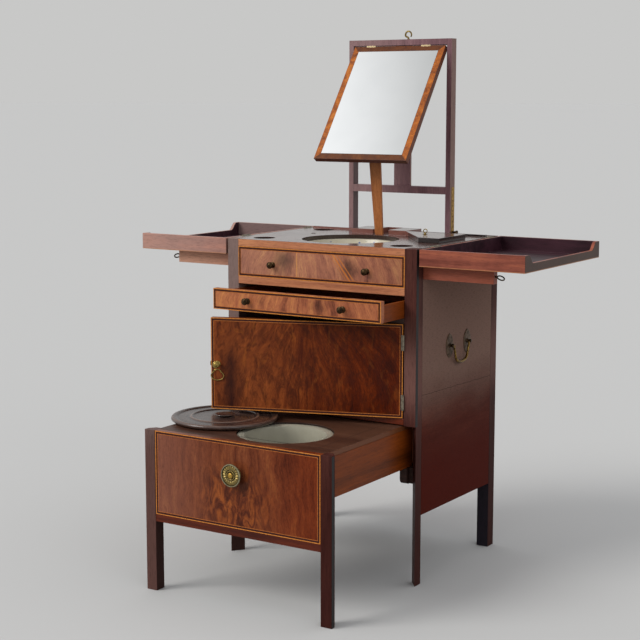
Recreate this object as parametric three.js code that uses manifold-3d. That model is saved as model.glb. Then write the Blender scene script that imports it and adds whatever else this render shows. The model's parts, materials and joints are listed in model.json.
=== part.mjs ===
// Enclosed washstand with a rising mirror and a pull-out night stand, opened out for use.
// Millimetres. +X is to the right seen from the front, +Y goes to the back and +Z is up.
import * as THREE from 'three';
import { mergeVertices } from 'three/addons/utils/BufferGeometryUtils.js';
import Module from 'manifold-3d';

const wasm = await Module();
wasm.setup();

// Driving dimensions of the case
const case_width = 560;
const case_depth = 440;
const case_height = 840;
const post_side = 33;
const board = 14;
const top_thickness = 18;
const back_thickness = 12;
const touch_gap = 0.3;
const run_gap = 1.2;
const cut_over = 1;

// Heights of the fronts
const seat_height = 403;
const seat_run_gap = 3;
const floor_thickness = 16;
const door_gap = 1.2;
const shelf_thickness = 13.5;
const drawer_height = 53;
const frieze_height = 97;
const apron_height = 176;

// How far the photographed pieces stand open
const drawer_travel_length = 111;
const pull_out_length = 364;
const door_open = THREE.MathUtils.degToRad(18.5);
const loper_travel_length = 188;
const glass_tilt = THREE.MathUtils.degToRad(35.3);

// Split of the front legs below the seat
const split_front = 3;
const split_side = 24;
const split_gap = 2;

// Holes in the top
const basin_hole_radius = 126;
const basin_front_edge = 26;
const basin_ledge_width = 9;
const basin_ledge_depth = 14;
const cup_radius = 28.5;
const cup_depth = 14;
const cup_across = 205;
const cup_front = 58;
const cup_rear = 346;

// Shaped till lids, the wells under them and the raised block of the strut
const till_front = 160;
const till_rear = 303;
const till_from_side = 26;
const till_inner_front = 195;
const till_inner_rear = 78;
const till_wall = 8;
const till_rim = 6;
const till_depth = 42;
const flush_lid_thickness = 6;
const proud_lid_thickness = 12.5;
const lid_plug_depth = 4;
const block_height = 13;
const block_left_width = 90;
const block_front = 305;
const notch_half_width = 24;

// Rising mirror frame
const frame_width = 314;
const frame_depth = 26;
const frame_from_back = 41;
const frame_rise = 514;
const frame_below = 80;
const upright_width = 14;
const top_rail_height = 15;
const cross_rail_rise = 106;
const cross_rail_height = 19;
const muntin_width = 50;
const muntin_thickness = 7;
const shaft_wall = 8;
const shaft_wall_gap = 6;
const strip_height = 5;
const strip_depth = 10;

// Rack, catch and top loop
const rack_width = 14;
const rack_thickness = 2;
const rack_proud = 0.6;
const rack_length = 127;
const rack_holes = 9;
const rack_hole_radius = 2.2;
const rack_hole_inset = 7;
const rack_from_rear = 3;
const catch_radius = 3.2;
const catch_length = 14;
const catch_head_radius = 5;
const catch_head_length = 4;
const loop_height = 23;
const loop_tube = 2;
const loop_radius = 7;
const loop_place = 20;
const loop_stem_radius = 1.8;

// Looking glass and strut
const glass_frame_side_gap = 4;
const glass_frame_length = 361;
const glass_frame_thickness = 15;
const glass_member = 17;
const glass_thickness = 3;
const glass_hinge_drop = 2;
const glass_hinge_inset = 1;
const strut_thickness = 6;
const strut_from_bottom = 102;
const strut_top_width = 38;
const strut_foot_width = 23;
const strut_foot_place = 298;

// Trays, their hinges and lopers
const tray_height = 41.5;
const tray_gap = 6.6;
const tray_meeting_gap = 2;
const tray_wall = 9;
const tray_floor = 6;
const tray_end_height = 21;
const tray_shoulder = 20;
const tray_scoop = 26;
const scoop_steps = 6;
const tray_hinge_radius = 3;
const tray_hinge_length = 34;
const tray_leaf_width = 11;
const tray_leaf_thickness = 2;
const tray_hinge_front = 86;
const tray_hinge_rear = 384;
const loper_height = 34;
const loper_width = 20;
const loper_inside = 62;
const loper_loop_radius = 5;
const loper_loop_tube = 1.2;
const loper_stem_length = 5;
const loper_stem_radius = 1.4;

// Basin and pot
const basin_depth = 89;
const basin_foot_radius = 48;
const basin_wall = 5;
const basin_rim_thickness = 3.2;
const basin_middle_radius = 92;
const basin_middle_drop = 42;
const basin_lower_radius = 79;
const basin_rim_gap = 0.9;
const pot_hole_radius = 118;
const pot_hole_right = 42;
const pot_hole_behind_front = 151;
const pot_ledge_width = 7;
const pot_ledge_depth = 6;
const pot_depth = 150;
const pot_wall = 5;
const pot_rim_thickness = 4;
const pot_belly_radius = 104;
const pot_foot_radius = 74;
const pot_neck_radius = 103;

// Pot lid lying on the seat
const pot_lid_radius = 134;
const pot_lid_thickness = 13.5;
const pot_lid_left = 164;
const pot_lid_behind_front = 186;
const pot_lid_step = 3;
const pot_lid_foot_inset = 14;
const pot_lid_edge_rise = 7.5;
const pot_lid_rim_width = 19;
const pot_lid_ring_radius = 83;
const pot_lid_knob_radius = 26;
const pot_lid_knob_height = 4.5;
const pot_lid_knob_lift = 1;
const pot_lid_knob_neck = 12;

// Pull-out night stand
const commode_inset = 11;
const commode_leg_side = 30;
const commode_board_gap = 4;
const commode_board_height = 98;
const commode_length = 418;
const commode_front_thickness = 16;
const commode_front_recess = 1;
const seat_thickness = 12;
const runner_height = 40;
const runner_cover = 16;
const runner_front = 18;
const runner_nose = 12;

// Drawer
const drawer_front_thickness = 16;
const drawer_length = 330;
const drawer_side = 9;
const drawer_bottom = 6;
const drawer_box_height = 42;
const drawer_side_gap = 0.5;
const drawer_front_gap = 1;

// Door and its fittings
const door_thickness = 18;
const door_hinge_radius = 2.6;
const door_hinge_length = 38;
const door_leaf_width = 3;
const door_leaf_thickness = 1.6;
const door_upper_hinge_drop = 45.5;
const door_lower_hinge_rise = 38.8;
const door_knob_inset = 17;
const door_knob_rise = 114.8;
const bolt_out = 4;
const bolt_height = 10;
const bolt_thickness = 6;
const bolt_length = 24;
const bolt_mortise_depth = 5;
const bolt_mortise_gap = 1.5;
const ring_half_width = 16;
const ring_half_height = 14;
const ring_tube = 1.7;
const ring_drop = 13.5;

// Turned brass knobs, given by their face radius
const knob_radius = 9;
const knob_reach = 18;
const knob_inset_share = 0.25;
// Turned outline of a knob from foot to face, as shares of its radius and its reach
const knob_shares = [
  [0, 0], [0.72, 0], [0.72, 0.12], [0.4, 0.2], [0.34, 0.42], [0.62, 0.56], [1, 0.72],
  [0.96, 0.86], [0.6, 0.97], [0, 1],
];
const frieze_knob_below_top = 62;
const drawer_knob_share = 0.25;
const rosette_radius = 28;
const rosette_reach = 22;
const rosette_below_seat = 77;

// Side carrying handles
const handle_below_top = 257;
const handle_pitch = 95;
const handle_plate_half_width = 22;
const handle_plate_half_height = 31;
const handle_plate_thickness = 2.4;
// Half of the pointed plate's outline from its top point down, as shares of its half sizes:
// the bend and the end of each curve
const plate_top_share = 1;
const plate_curve_shares = [
  [0.45, 0.72, 1, 0.42], [1.02, -0.35, 0.5, -0.72], [0.2, -0.85, 0, -1],
];
const handle_boss_radius = 5;
const handle_boss_reach = 14;
const bail_tube = 3.2;
const bail_drop = 46;
const bail_steps = 14;
const bail_sides = 8;

// Counts of facets
const round_steps = 40;
const turned_steps = 28;
const small_steps = 16;
const ring_steps = 20;
const ring_sides = 8;
const plate_steps = 6;

// Places worked out from the sizes above
const half_width = case_width / 2;
const post_inner = half_width - post_side;
const top_under = case_height - top_thickness;
const panel_inner = half_width - board;
const till_outer = half_width - till_from_side;
const floor_bottom = seat_height + seat_run_gap;
const floor_top = floor_bottom + floor_thickness;
const door_bottom = floor_top + door_gap;
const frieze_bottom = top_under - touch_gap - frieze_height;
const drawer_base = frieze_bottom - door_gap - drawer_height;
const shelf_top = drawer_base - touch_gap;
const shelf_bottom = shelf_top - shelf_thickness;
const door_top = shelf_bottom - door_gap;
const door_knob_height = door_bottom + door_knob_rise;
const rosette_height = seat_height - rosette_below_seat;
const handle_height = case_height - handle_below_top;
const basin_place = basin_front_edge + basin_hole_radius;
const back_front = case_depth - back_thickness;
const frame_front = case_depth - frame_from_back;
const frame_top = case_height + frame_rise;
const cross_rail_bottom = case_height + cross_rail_rise;
const rack_top = cross_rail_bottom + cross_rail_height;
const rack_front = frame_front + frame_depth - rack_from_rear - rack_width;
const shaft_front = frame_front - shaft_wall_gap;
const strip_rear = frame_front - run_gap;
const strip_front = strip_rear - strip_depth;
const inner_rear = shaft_front - shaft_wall;
const commode_half = half_width - commode_inset;
const commode_front = -pull_out_length;
const commode_board_outer = post_inner - commode_board_gap;
const runner_inner = commode_board_outer - runner_cover;
const commode_board_bottom = seat_height - seat_thickness - touch_gap - commode_board_height;
const runner_top = commode_board_bottom - touch_gap;
const tray_bottom = case_height - tray_height;
const loper_top = tray_bottom - touch_gap;
const loper_front = post_side + touch_gap + run_gap;
const tray_inner = half_width + tray_gap;
const tray_outer = tray_inner + half_width - tray_meeting_gap;
const tray_axis = half_width + tray_gap / 2;
const glass_axis = new THREE.Vector3(
  0, frame_front + glass_hinge_inset, frame_top - top_rail_height - glass_hinge_drop);
const glass_half_width = frame_width / 2 - upright_width - glass_frame_side_gap;
const overall_front = commode_front - rosette_reach + commode_front_recess;
const centre_line = (case_depth + overall_front) / 2;

const looks = {
  post: { color: '#4c3634', roughness: 0.42, metalness: 0 },
  panel: { color: '#553029', roughness: 0.4, metalness: 0 },
  figured: { color: '#8d4a22', roughness: 0.32, metalness: 0 },
  plain_wood: { color: '#6a4424', roughness: 0.55, metalness: 0 },
  top_wood: { color: '#5d4238', roughness: 0.3, metalness: 0 },
  frame_wood: { color: '#6b4f55', roughness: 0.45, metalness: 0 },
  burr: { color: '#a5591f', roughness: 0.35, metalness: 0 },
  lid_wood: { color: '#4a3a36', roughness: 0.35, metalness: 0 },
  brass: { color: '#8d7a45', roughness: 0.38, metalness: 0.9 },
  glaze: { color: '#d9d3bb', roughness: 0.15, metalness: 0 },
  pot_glaze: { color: '#a6aa98', roughness: 0.2, metalness: 0 },
  mirror: { color: '#d7dcdf', roughness: 0.05, metalness: 1 },
};
const materials = Object.fromEntries(
  Object.entries(looks).map(([name, look]) => [name, new THREE.MeshStandardMaterial(look)]));

// Directions that carry a flat outline's x, y and depth to the object's axes
const along_x = new THREE.Matrix4().makeBasis(
  new THREE.Vector3(0, 1, 0), new THREE.Vector3(0, 0, 1), new THREE.Vector3(1, 0, 0));
const along_y = new THREE.Matrix4().makeBasis(
  new THREE.Vector3(1, 0, 0), new THREE.Vector3(0, 0, 1), new THREE.Vector3(0, -1, 0));

function piece(name, geometry, look) {
  const mesh = new THREE.Mesh(geometry, materials[look]);
  mesh.name = name;
  return mesh;
}

function box(x0, x1, y0, y1, z0, z1) {
  const shape = new THREE.BoxGeometry(x1 - x0, y1 - y0, z1 - z0);
  return shape.translate((x0 + x1) / 2, (y0 + y1) / 2, (z0 + z1) / 2);
}

function extruded(points, depth, steps = small_steps) {
  const shape = points instanceof THREE.Shape
    ? points
    : new THREE.Shape(points.map(([a, b]) => new THREE.Vector2(a, b)));
  return new THREE.ExtrudeGeometry(shape, { depth, bevelEnabled: false, curveSegments: steps });
}

// Outline in X and Y, between two heights
function upright_prism(points, z0, z1) {
  return extruded(points, z1 - z0).translate(0, 0, z0);
}

// Outline in Y and Z, between two places along X
function cross_prism(points, x0, x1) {
  return extruded(points, x1 - x0).applyMatrix4(along_x).translate(x0, 0, 0);
}

// Outline in X and Z, between two places along Y
function deep_prism(points, y0, y1) {
  return extruded(points, y1 - y0).applyMatrix4(along_y).translate(0, y1, 0);
}

// A turned piece on the Z axis, from pairs of radius and height
function turned(profile, steps = turned_steps) {
  const points = profile.map(([radius, height]) => new THREE.Vector2(radius, height));
  return new THREE.LatheGeometry(points, steps).rotateX(Math.PI / 2);
}

function disc(radius, x, y, z0, z1, steps = round_steps) {
  return new THREE.CylinderGeometry(radius, radius, z1 - z0, steps)
    .rotateX(Math.PI / 2).translate(x, y, (z0 + z1) / 2);
}

// A rod along X between two places
function rod_x(radius, x0, x1, y, z, steps = small_steps) {
  return new THREE.CylinderGeometry(radius, radius, x1 - x0, steps)
    .rotateZ(Math.PI / 2).translate((x0 + x1) / 2, y, z);
}

// A rod along Y between two places
function rod_y(radius, y0, y1, x, z, steps = small_steps) {
  return new THREE.CylinderGeometry(radius, radius, y1 - y0, steps).translate(x, (y0 + y1) / 2, z);
}

// Triangles of a closed geometry with merged corners, turned to face outward
function closed_triangles(geometry) {
  const plain = geometry.clone();
  plain.deleteAttribute('normal');
  plain.deleteAttribute('uv');
  const merged = mergeVertices(plain);
  const index = merged.index.array;
  const place = merged.attributes.position;
  const corner = [new THREE.Vector3(), new THREE.Vector3(), new THREE.Vector3()];
  const kept = [];
  let volume = 0;
  for (let i = 0; i < index.length; i += 3) {
    const [a, b, c] = [index[i], index[i + 1], index[i + 2]];
    if (a === b || b === c || c === a) {
      continue;
    }
    [a, b, c].forEach((vertex, k) => corner[k].fromBufferAttribute(place, vertex));
    volume += corner[0].dot(corner[1].cross(corner[2]));
    kept.push([a, b, c]);
  }
  const facing = volume < 0 ? kept.map(([a, b, c]) => [a, c, b]) : kept;
  return { vertProperties: new Float32Array(place.array), triVerts: new Uint32Array(facing.flat()) };
}

function solid(geometry) {
  return new wasm.Manifold(new wasm.Mesh({ numProp: 3, ...closed_triangles(geometry) }));
}

function as_geometry({ vertProperties, triVerts }) {
  const geometry = new THREE.BufferGeometry();
  geometry.setAttribute('position', new THREE.BufferAttribute(new Float32Array(vertProperties), 3));
  geometry.setIndex(new THREE.BufferAttribute(new Uint32Array(triVerts), 1));
  geometry.computeVertexNormals();
  return geometry;
}

// The first shapes joined, less the shapes cut away
function carved(joined, cuts = []) {
  let body = solid(joined[0]);
  for (const extra of joined.slice(1)) {
    body = body.add(solid(extra));
  }
  for (const cut of cuts) {
    body = body.subtract(solid(cut));
  }
  return as_geometry(body.getMesh());
}

function closed(geometry) {
  return as_geometry(closed_triangles(geometry));
}

function mirrored_points(points) {
  return points.map(([x, y]) => [-x, y]).reverse();
}

// A board as wide and deep as the case, cut back at the posts
function notched_outline(rear, side_outer) {
  const notch = post_side + touch_gap;
  const inner = half_width - notch;
  const right = [[inner, 0], [inner, notch], [side_outer, notch]];
  const far = rear > case_depth - notch
    ? [[side_outer, case_depth - notch], [inner, case_depth - notch], [inner, rear]]
    : [[side_outer, rear]];
  const half = [...right, ...far];
  return [...half, ...mirrored_points(half)];
}

function front_leg(name, side) {
  const outer = side * half_width;
  const square = box(Math.min(outer, side * post_inner), Math.max(outer, side * post_inner),
    0, post_side, seat_height + touch_gap, case_height);
  const half_leg = upright_prism([
    [outer, split_front], [outer, post_side], [outer - side * split_side, post_side],
  ], 0, seat_height + touch_gap + cut_over);
  const cuts = [];
  if (side < 0) {
    const deep = bolt_mortise_gap + bolt_mortise_depth;
    const half_height = bolt_height / 2 + bolt_mortise_gap;
    const bolt_middle = door_thickness / 2;
    cuts.push(box(-post_inner - deep, -post_inner + cut_over,
      bolt_middle - bolt_thickness / 2 - bolt_mortise_gap,
      bolt_middle + bolt_thickness / 2 + bolt_mortise_gap,
      door_knob_height - half_height, door_knob_height + half_height));
  }
  return piece(name, carved([square, half_leg], cuts), 'post');
}

function rear_leg(name, side) {
  const [x0, x1] = [side * half_width, side * post_inner].sort((a, b) => a - b);
  return piece(name, closed(box(x0, x1, case_depth - post_side, case_depth, 0, case_height)), 'post');
}

function side_panel(name, side) {
  const [x0, x1] = [side * half_width, side * panel_inner].sort((a, b) => a - b);
  const y0 = post_side + touch_gap;
  const panel = box(x0, x1, y0, case_depth - y0, apron_height, top_under - touch_gap);
  const slot = box(x0 - cut_over, x1 + cut_over, y0 - cut_over, loper_front + loper_width + touch_gap,
    loper_top - loper_height - touch_gap, loper_top + touch_gap);
  return piece(name, carved([panel], [slot]), 'panel');
}

function back_panel() {
  const inner = post_inner - touch_gap;
  const panel = box(-inner, inner, back_front, case_depth - touch_gap, apron_height, top_under - touch_gap);
  return piece('back_panel', closed(panel), 'plain_wood');
}

// The till's outline seen from above on the right side, drawn in by an inset
function till_outline(inset) {
  const slope = (till_inner_front - till_inner_rear) / (till_rear - till_front);
  const slant = inset * Math.hypot(1, slope);
  return [
    [till_inner_front + slant - inset * slope, till_front + inset], [till_outer - inset, till_front + inset],
    [till_outer - inset, till_rear - inset], [till_inner_rear + slant + inset * slope, till_rear - inset],
  ];
}

function till_sides(inset, side) {
  const right = till_outline(inset);
  return side > 0 ? right : mirrored_points(right);
}

function top_board() {
  const slab = upright_prism(notched_outline(case_depth - touch_gap, half_width), top_under, case_height);
  const well_bottom = case_height - till_depth;
  const wells = [-1, 1].map((side) => upright_prism(till_sides(0, side), well_bottom, top_under + cut_over));
  const strip_half = half_width - tray_leaf_width - run_gap;
  const strip = box(-strip_half, strip_half, strip_front, strip_rear,
    case_height - cut_over, case_height + strip_height);
  const block = box(-block_left_width, till_inner_rear - touch_gap, block_front, strip_front + cut_over,
    case_height - cut_over, case_height + block_height);
  const cuts = [
    disc(basin_hole_radius, 0, basin_place, case_height - basin_ledge_depth, case_height + cut_over),
    disc(basin_hole_radius - basin_ledge_width, 0, basin_place, top_under - cut_over, case_height),
    box(-notch_half_width, notch_half_width, block_front - cut_over, strip_front,
      case_height, case_height + block_height + cut_over),
    box(-frame_width / 2 - run_gap, frame_width / 2 + run_gap + rack_proud, strip_rear,
      frame_front + frame_depth + run_gap, top_under - cut_over, case_height + block_height + cut_over),
  ];
  for (const side of [-1, 1]) {
    for (const y of [cup_front, cup_rear]) {
      cuts.push(disc(cup_radius, side * cup_across, y,
        case_height - cup_depth, case_height + cut_over, turned_steps));
    }
    cuts.push(upright_prism(till_sides(till_wall, side), well_bottom + till_wall, case_height + cut_over));
    for (const y of [tray_hinge_front, tray_hinge_rear]) {
      cuts.push(tray_hinge_cut(side, y));
    }
  }
  cuts.push(upright_prism(till_sides(till_rim / 2, -1), case_height - flush_lid_thickness - touch_gap,
    case_height + cut_over));
  return piece('top_board', carved([slab, ...wells, strip, block], cuts), 'top_wood');
}

function left_till_lid() {
  const outline = till_sides(till_rim / 2 + touch_gap, -1);
  const lid = upright_prism(outline, case_height - flush_lid_thickness, case_height);
  return piece('left_till_lid', closed(lid), 'top_wood');
}

function right_till_lid() {
  const base = case_height + touch_gap;
  const lid = upright_prism(till_sides(0, 1), base, base + proud_lid_thickness);
  const plug = upright_prism(till_sides(till_wall + run_gap, 1), base - lid_plug_depth, base + cut_over);
  return piece('right_till_lid', carved([lid, plug]), 'top_wood');
}

// A turned knob whose foot stands on a front at the given place
function front_knob(name, x, y, z, radius = knob_radius, reach = knob_reach) {
  const profile = knob_shares.map(([across, along]) => [radius * across, reach * along]);
  const knob = turned(profile, turned_steps).rotateX(Math.PI / 2);
  return piece(name, closed(knob.translate(x, y - touch_gap, z)), 'brass');
}

function frieze() {
  const inner = post_inner - touch_gap;
  const panel = box(-inner, inner, 0, board, frieze_bottom, top_under - touch_gap);
  const front = piece('frieze', closed(panel), 'figured');
  const x = case_width * knob_inset_share;
  const z = case_height - frieze_knob_below_top;
  return [front, front_knob('frieze_knob_left', -x, 0, z), front_knob('frieze_knob_right', x, 0, z)];
}

function shelf_boards() {
  const outline = notched_outline(inner_rear - touch_gap, panel_inner - touch_gap);
  return [
    piece('drawer_shelf', closed(upright_prism(outline, shelf_bottom, shelf_top)), 'plain_wood'),
    piece('cupboard_floor', closed(upright_prism(outline, floor_bottom, floor_top)), 'post'),
  ];
}

// The board that closes the mirror's shaft off from the cupboard and the drawer
function shaft_board() {
  const inner = panel_inner - touch_gap;
  const wall = box(-inner, inner, inner_rear, shaft_front, floor_bottom, top_under - till_depth - touch_gap);
  return piece('shaft_board', closed(wall), 'plain_wood');
}

function runner(name, side) {
  const low = runner_top - runner_height;
  const rear = case_depth - post_side - touch_gap;
  const nose = [];
  for (let i = 0; i <= scoop_steps; i += 1) {
    const turn = (i / scoop_steps) * (Math.PI / 2);
    nose.push([runner_front + runner_nose * (1 - Math.cos(turn)), low + runner_nose * (1 - Math.sin(turn))]);
  }
  const body = cross_prism([[rear, low], [rear, runner_top], [runner_front, runner_top], ...nose],
    runner_inner, panel_inner - touch_gap);
  const leg_room = box(post_inner - touch_gap, half_width, 0, post_side + touch_gap,
    low - cut_over, runner_top + cut_over);
  const shape = carved([body], [leg_room]);
  if (side < 0) {
    shape.scale(-1, 1, 1);
  }
  return piece(name, closed(shape), 'plain_wood');
}

function basin() {
  const rim = basin_hole_radius - basin_rim_gap;
  const hole = basin_hole_radius - basin_ledge_width - run_gap;
  const ledge = case_height - basin_ledge_depth + touch_gap;
  const rim_top = ledge + basin_rim_thickness;
  const bottom = rim_top - basin_depth;
  const middle = rim_top - basin_middle_drop;
  const lower = (bottom + middle) / 2;
  const outside = [
    [0, bottom], [basin_foot_radius, bottom], [basin_foot_radius, bottom + basin_wall],
    [basin_lower_radius, lower], [basin_middle_radius, middle],
    [hole, ledge - basin_wall], [hole, ledge], [rim, ledge], [rim, rim_top],
  ];
  const inside = [
    [hole - basin_wall / 2, rim_top], [basin_middle_radius - basin_wall, middle],
    [basin_lower_radius - basin_wall, lower + basin_wall],
    [basin_foot_radius, bottom + basin_wall * 2], [0, bottom + basin_wall * 2],
  ];
  const bowl = turned([...outside, ...inside], round_steps).translate(0, basin_place, 0);
  return piece('basin', closed(bowl), 'glaze');
}

function tray_hinge_cut(side, y) {
  const half = tray_hinge_length / 2 + touch_gap;
  const leaf_inner = side * (half_width - tray_leaf_width - touch_gap);
  const [x0, x1] = [leaf_inner, side * (half_width + cut_over)].sort((a, b) => a - b);
  const low = case_height - tray_leaf_thickness - touch_gap;
  return box(x0, x1, y - half, y + half, low, case_height + cut_over);
}

function tray_hinge(name, side, y) {
  const half = tray_hinge_length / 2;
  const x = side * tray_axis;
  const leaf_inner = side * (half_width - tray_leaf_width);
  const [x0, x1] = [leaf_inner, x].sort((a, b) => a - b);
  const leaf = box(x0, x1, y - half, y + half, case_height - tray_leaf_thickness, case_height);
  return piece(name, carved([rod_y(tray_hinge_radius, y - half, y + half, x, case_height), leaf]), 'brass');
}

// One tray: walls and bottom board glued up, with the lower scooped wall at its outer end
function tray(name, side) {
  const walls = box(tray_inner, tray_outer, 0, case_depth, tray_bottom, case_height);
  const hollow = box(tray_inner + tray_wall, tray_outer - tray_wall, tray_wall, case_depth - tray_wall,
    tray_bottom + tray_floor, case_height + cut_over);
  const low = tray_bottom + tray_end_height;
  const dip = [];
  for (let i = 0; i <= scoop_steps; i += 1) {
    const turn = (i / scoop_steps) * Math.PI;
    dip.push([tray_shoulder + (tray_scoop * i) / scoop_steps,
      (case_height + low) / 2 + ((case_height - low) / 2) * Math.cos(turn)]);
  }
  const far_dip = dip.map(([y, z]) => [case_depth - y, z]).reverse();
  const above = case_height + cut_over;
  const scooped = [[tray_shoulder, above], ...dip, ...far_dip, [case_depth - tray_shoulder, above]];
  const lowered = cross_prism(scooped.reverse(), tray_outer - tray_wall - cut_over, tray_outer + cut_over);
  const shape = carved([walls], [hollow, lowered]);
  if (side < 0) {
    shape.scale(-1, 1, 1);
  }
  return piece(name, closed(shape), 'figured');
}

function loper(prefix, side) {
  const y0 = loper_front;
  const z0 = loper_top - loper_height;
  const bar = box(half_width - loper_inside, half_width + loper_travel_length,
    y0, y0 + loper_width, z0, loper_top);
  const middle = y0 + loper_width / 2;
  const height = z0 + loper_height / 2;
  const end = half_width + loper_travel_length + touch_gap;
  const loop = new THREE.TorusGeometry(loper_loop_radius, loper_loop_tube, ring_sides, ring_steps)
    .rotateX(Math.PI / 2).translate(end + loper_stem_length + loper_loop_radius, middle, height);
  const stem = rod_x(loper_stem_radius, end, end + loper_stem_length, middle, height);
  const shapes = [closed(bar), carved([stem, loop])];
  if (side < 0) {
    shapes.forEach((shape) => shape.scale(-1, 1, 1));
  }
  return [
    piece(`${prefix}_loper`, closed(shapes[0]), 'figured'),
    piece(`${prefix}_loper_pull`, closed(shapes[1]), 'brass'),
  ];
}

function drawer() {
  const half = post_inner - drawer_front_gap;
  const front = box(-half, half, -drawer_travel_length, -drawer_travel_length + drawer_front_thickness,
    drawer_base, drawer_base + drawer_height);
  const y0 = -drawer_travel_length + drawer_front_thickness + touch_gap;
  const y1 = -drawer_travel_length + drawer_length;
  const outer = half - drawer_side_gap;
  const shell = box(-outer, outer, y0, y1, drawer_base, drawer_base + drawer_box_height);
  const inside = box(-outer + drawer_side, outer - drawer_side, y0 + drawer_side, y1 - drawer_side,
    drawer_base + drawer_bottom, drawer_base + drawer_box_height + cut_over);
  const x = case_width * drawer_knob_share;
  const z = drawer_base + drawer_height / 2;
  return [
    piece('drawer_front', closed(front), 'figured'),
    piece('drawer_box', carved([shell], [inside]), 'plain_wood'),
    front_knob('drawer_knob_left', -x, -drawer_travel_length, z),
    front_knob('drawer_knob_right', x, -drawer_travel_length, z),
  ];
}

// The door and its fittings, drawn closed and turned about the hinge line at the right
function door() {
  const hinge_x = post_inner - touch_gap;
  const hinge_y = -door_hinge_radius - touch_gap;
  const right = hinge_x - touch_gap - door_hinge_radius / 2;
  const left = -post_inner + door_gap;
  const knob_x = left + door_knob_inset;
  const bolt_y = door_thickness / 2;
  const leaf = box(left, right, 0, door_thickness, door_bottom, door_top);
  const bolt_way = box(left - cut_over, left + bolt_length + bolt_out + touch_gap,
    bolt_y - bolt_thickness / 2 - touch_gap, bolt_y + bolt_thickness / 2 + touch_gap,
    door_knob_height - bolt_height / 2 - touch_gap, door_knob_height + bolt_height / 2 + touch_gap);
  const bolt = box(left - bolt_out, left - bolt_out + bolt_length,
    bolt_y - bolt_thickness / 2, bolt_y + bolt_thickness / 2,
    door_knob_height - bolt_height / 2, door_knob_height + bolt_height / 2);
  const ring = new THREE.TorusGeometry(1, ring_tube / ring_half_height, ring_sides, ring_steps)
    .rotateX(Math.PI / 2).scale(ring_half_width, ring_half_height, ring_half_height)
    .translate(knob_x, -ring_tube - touch_gap * 2, door_knob_height - ring_drop - ring_half_height);
  const pieces = [
    piece('door', carved([leaf], [bolt_way]), 'figured'),
    front_knob('door_knob', knob_x, 0, door_knob_height),
    piece('door_bolt', closed(bolt), 'brass'),
    piece('door_ring', closed(ring), 'brass'),
  ];
  const hinge_places = [
    ['door_hinge_upper', door_top - door_upper_hinge_drop],
    ['door_hinge_lower', door_bottom + door_lower_hinge_rise],
  ];
  for (const [name, z] of hinge_places) {
    const half = door_hinge_length / 2;
    const barrel = disc(door_hinge_radius, hinge_x, hinge_y, z - half, z + half, small_steps);
    const wing = box(hinge_x - door_hinge_radius - door_leaf_width, hinge_x,
      -door_leaf_thickness - touch_gap, -touch_gap, z - half, z + half);
    pieces.push(piece(name, carved([barrel, wing]), 'brass'));
  }
  const swung = new THREE.Group();
  swung.position.set(hinge_x, hinge_y, 0);
  swung.rotation.z = door_open;
  for (const part of pieces) {
    part.position.set(-hinge_x, -hinge_y, 0);
    swung.add(part);
  }
  return swung;
}

function commode_leg(name, side) {
  const outer = commode_half;
  const inner = outer - commode_leg_side;
  const slope = (post_side - split_front) / split_side;
  const lost = split_gap * Math.hypot(1, slope);
  const outer_depth = split_front + (half_width - outer) * slope - lost;
  const rear_outer = half_width - (commode_leg_side + lost - split_front) / slope;
  const points = [
    [inner, 0], [outer, 0], [outer, outer_depth], [rear_outer, commode_leg_side], [inner, commode_leg_side],
  ];
  const outline = side > 0 ? points : mirrored_points(points);
  const leg = upright_prism(outline, 0, seat_height).translate(0, commode_front, 0);
  return piece(name, closed(leg), 'post');
}

function commode() {
  const inner = commode_half - commode_leg_side - touch_gap;
  const front_y = commode_front + commode_front_recess;
  const front = box(-inner, inner, front_y, front_y + commode_front_thickness, apron_height, seat_height);
  const body_y = Math.max(front_y + commode_front_thickness, commode_front + commode_leg_side) + touch_gap;
  const rear = commode_front + commode_length;
  const outer = commode_board_outer;
  const top = seat_height - seat_thickness - touch_gap;
  const frame = box(-outer, outer, body_y, rear, commode_board_bottom, top);
  const room = box(-outer + board, outer - board, body_y + board, rear - board,
    commode_board_bottom - cut_over, top + cut_over);
  const tongue = box(-inner + touch_gap, inner - touch_gap, front_y + commode_front_thickness + touch_gap,
    body_y + cut_over, commode_board_bottom, top);
  const [hole_x, hole_y] = [pot_hole_right, commode_front + pot_hole_behind_front];
  const seat_front = front_y + commode_front_thickness + touch_gap;
  const seat = upright_prism([
    [-inner, seat_front], [inner, seat_front], [inner, body_y], [outer, body_y], [outer, rear],
    [-outer, rear], [-outer, body_y], [-inner, body_y],
  ], seat_height - seat_thickness, seat_height);
  return [
    piece('commode_front', closed(front), 'figured'),
    commode_leg('commode_leg_left', -1),
    commode_leg('commode_leg_right', 1),
    piece('commode_carcase', carved([frame, tongue], [room]), 'plain_wood'),
    piece('seat_board', carved([seat], [
      disc(pot_hole_radius, hole_x, hole_y, seat_height - pot_ledge_depth, seat_height + cut_over),
      disc(pot_hole_radius - pot_ledge_width, hole_x, hole_y,
        seat_height - seat_thickness - cut_over, seat_height),
    ]), 'plain_wood'),
    front_knob('commode_knob', 0, front_y, rosette_height, rosette_radius, rosette_reach - touch_gap),
    pot(hole_x, hole_y),
    pot_lid(),
  ];
}

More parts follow.
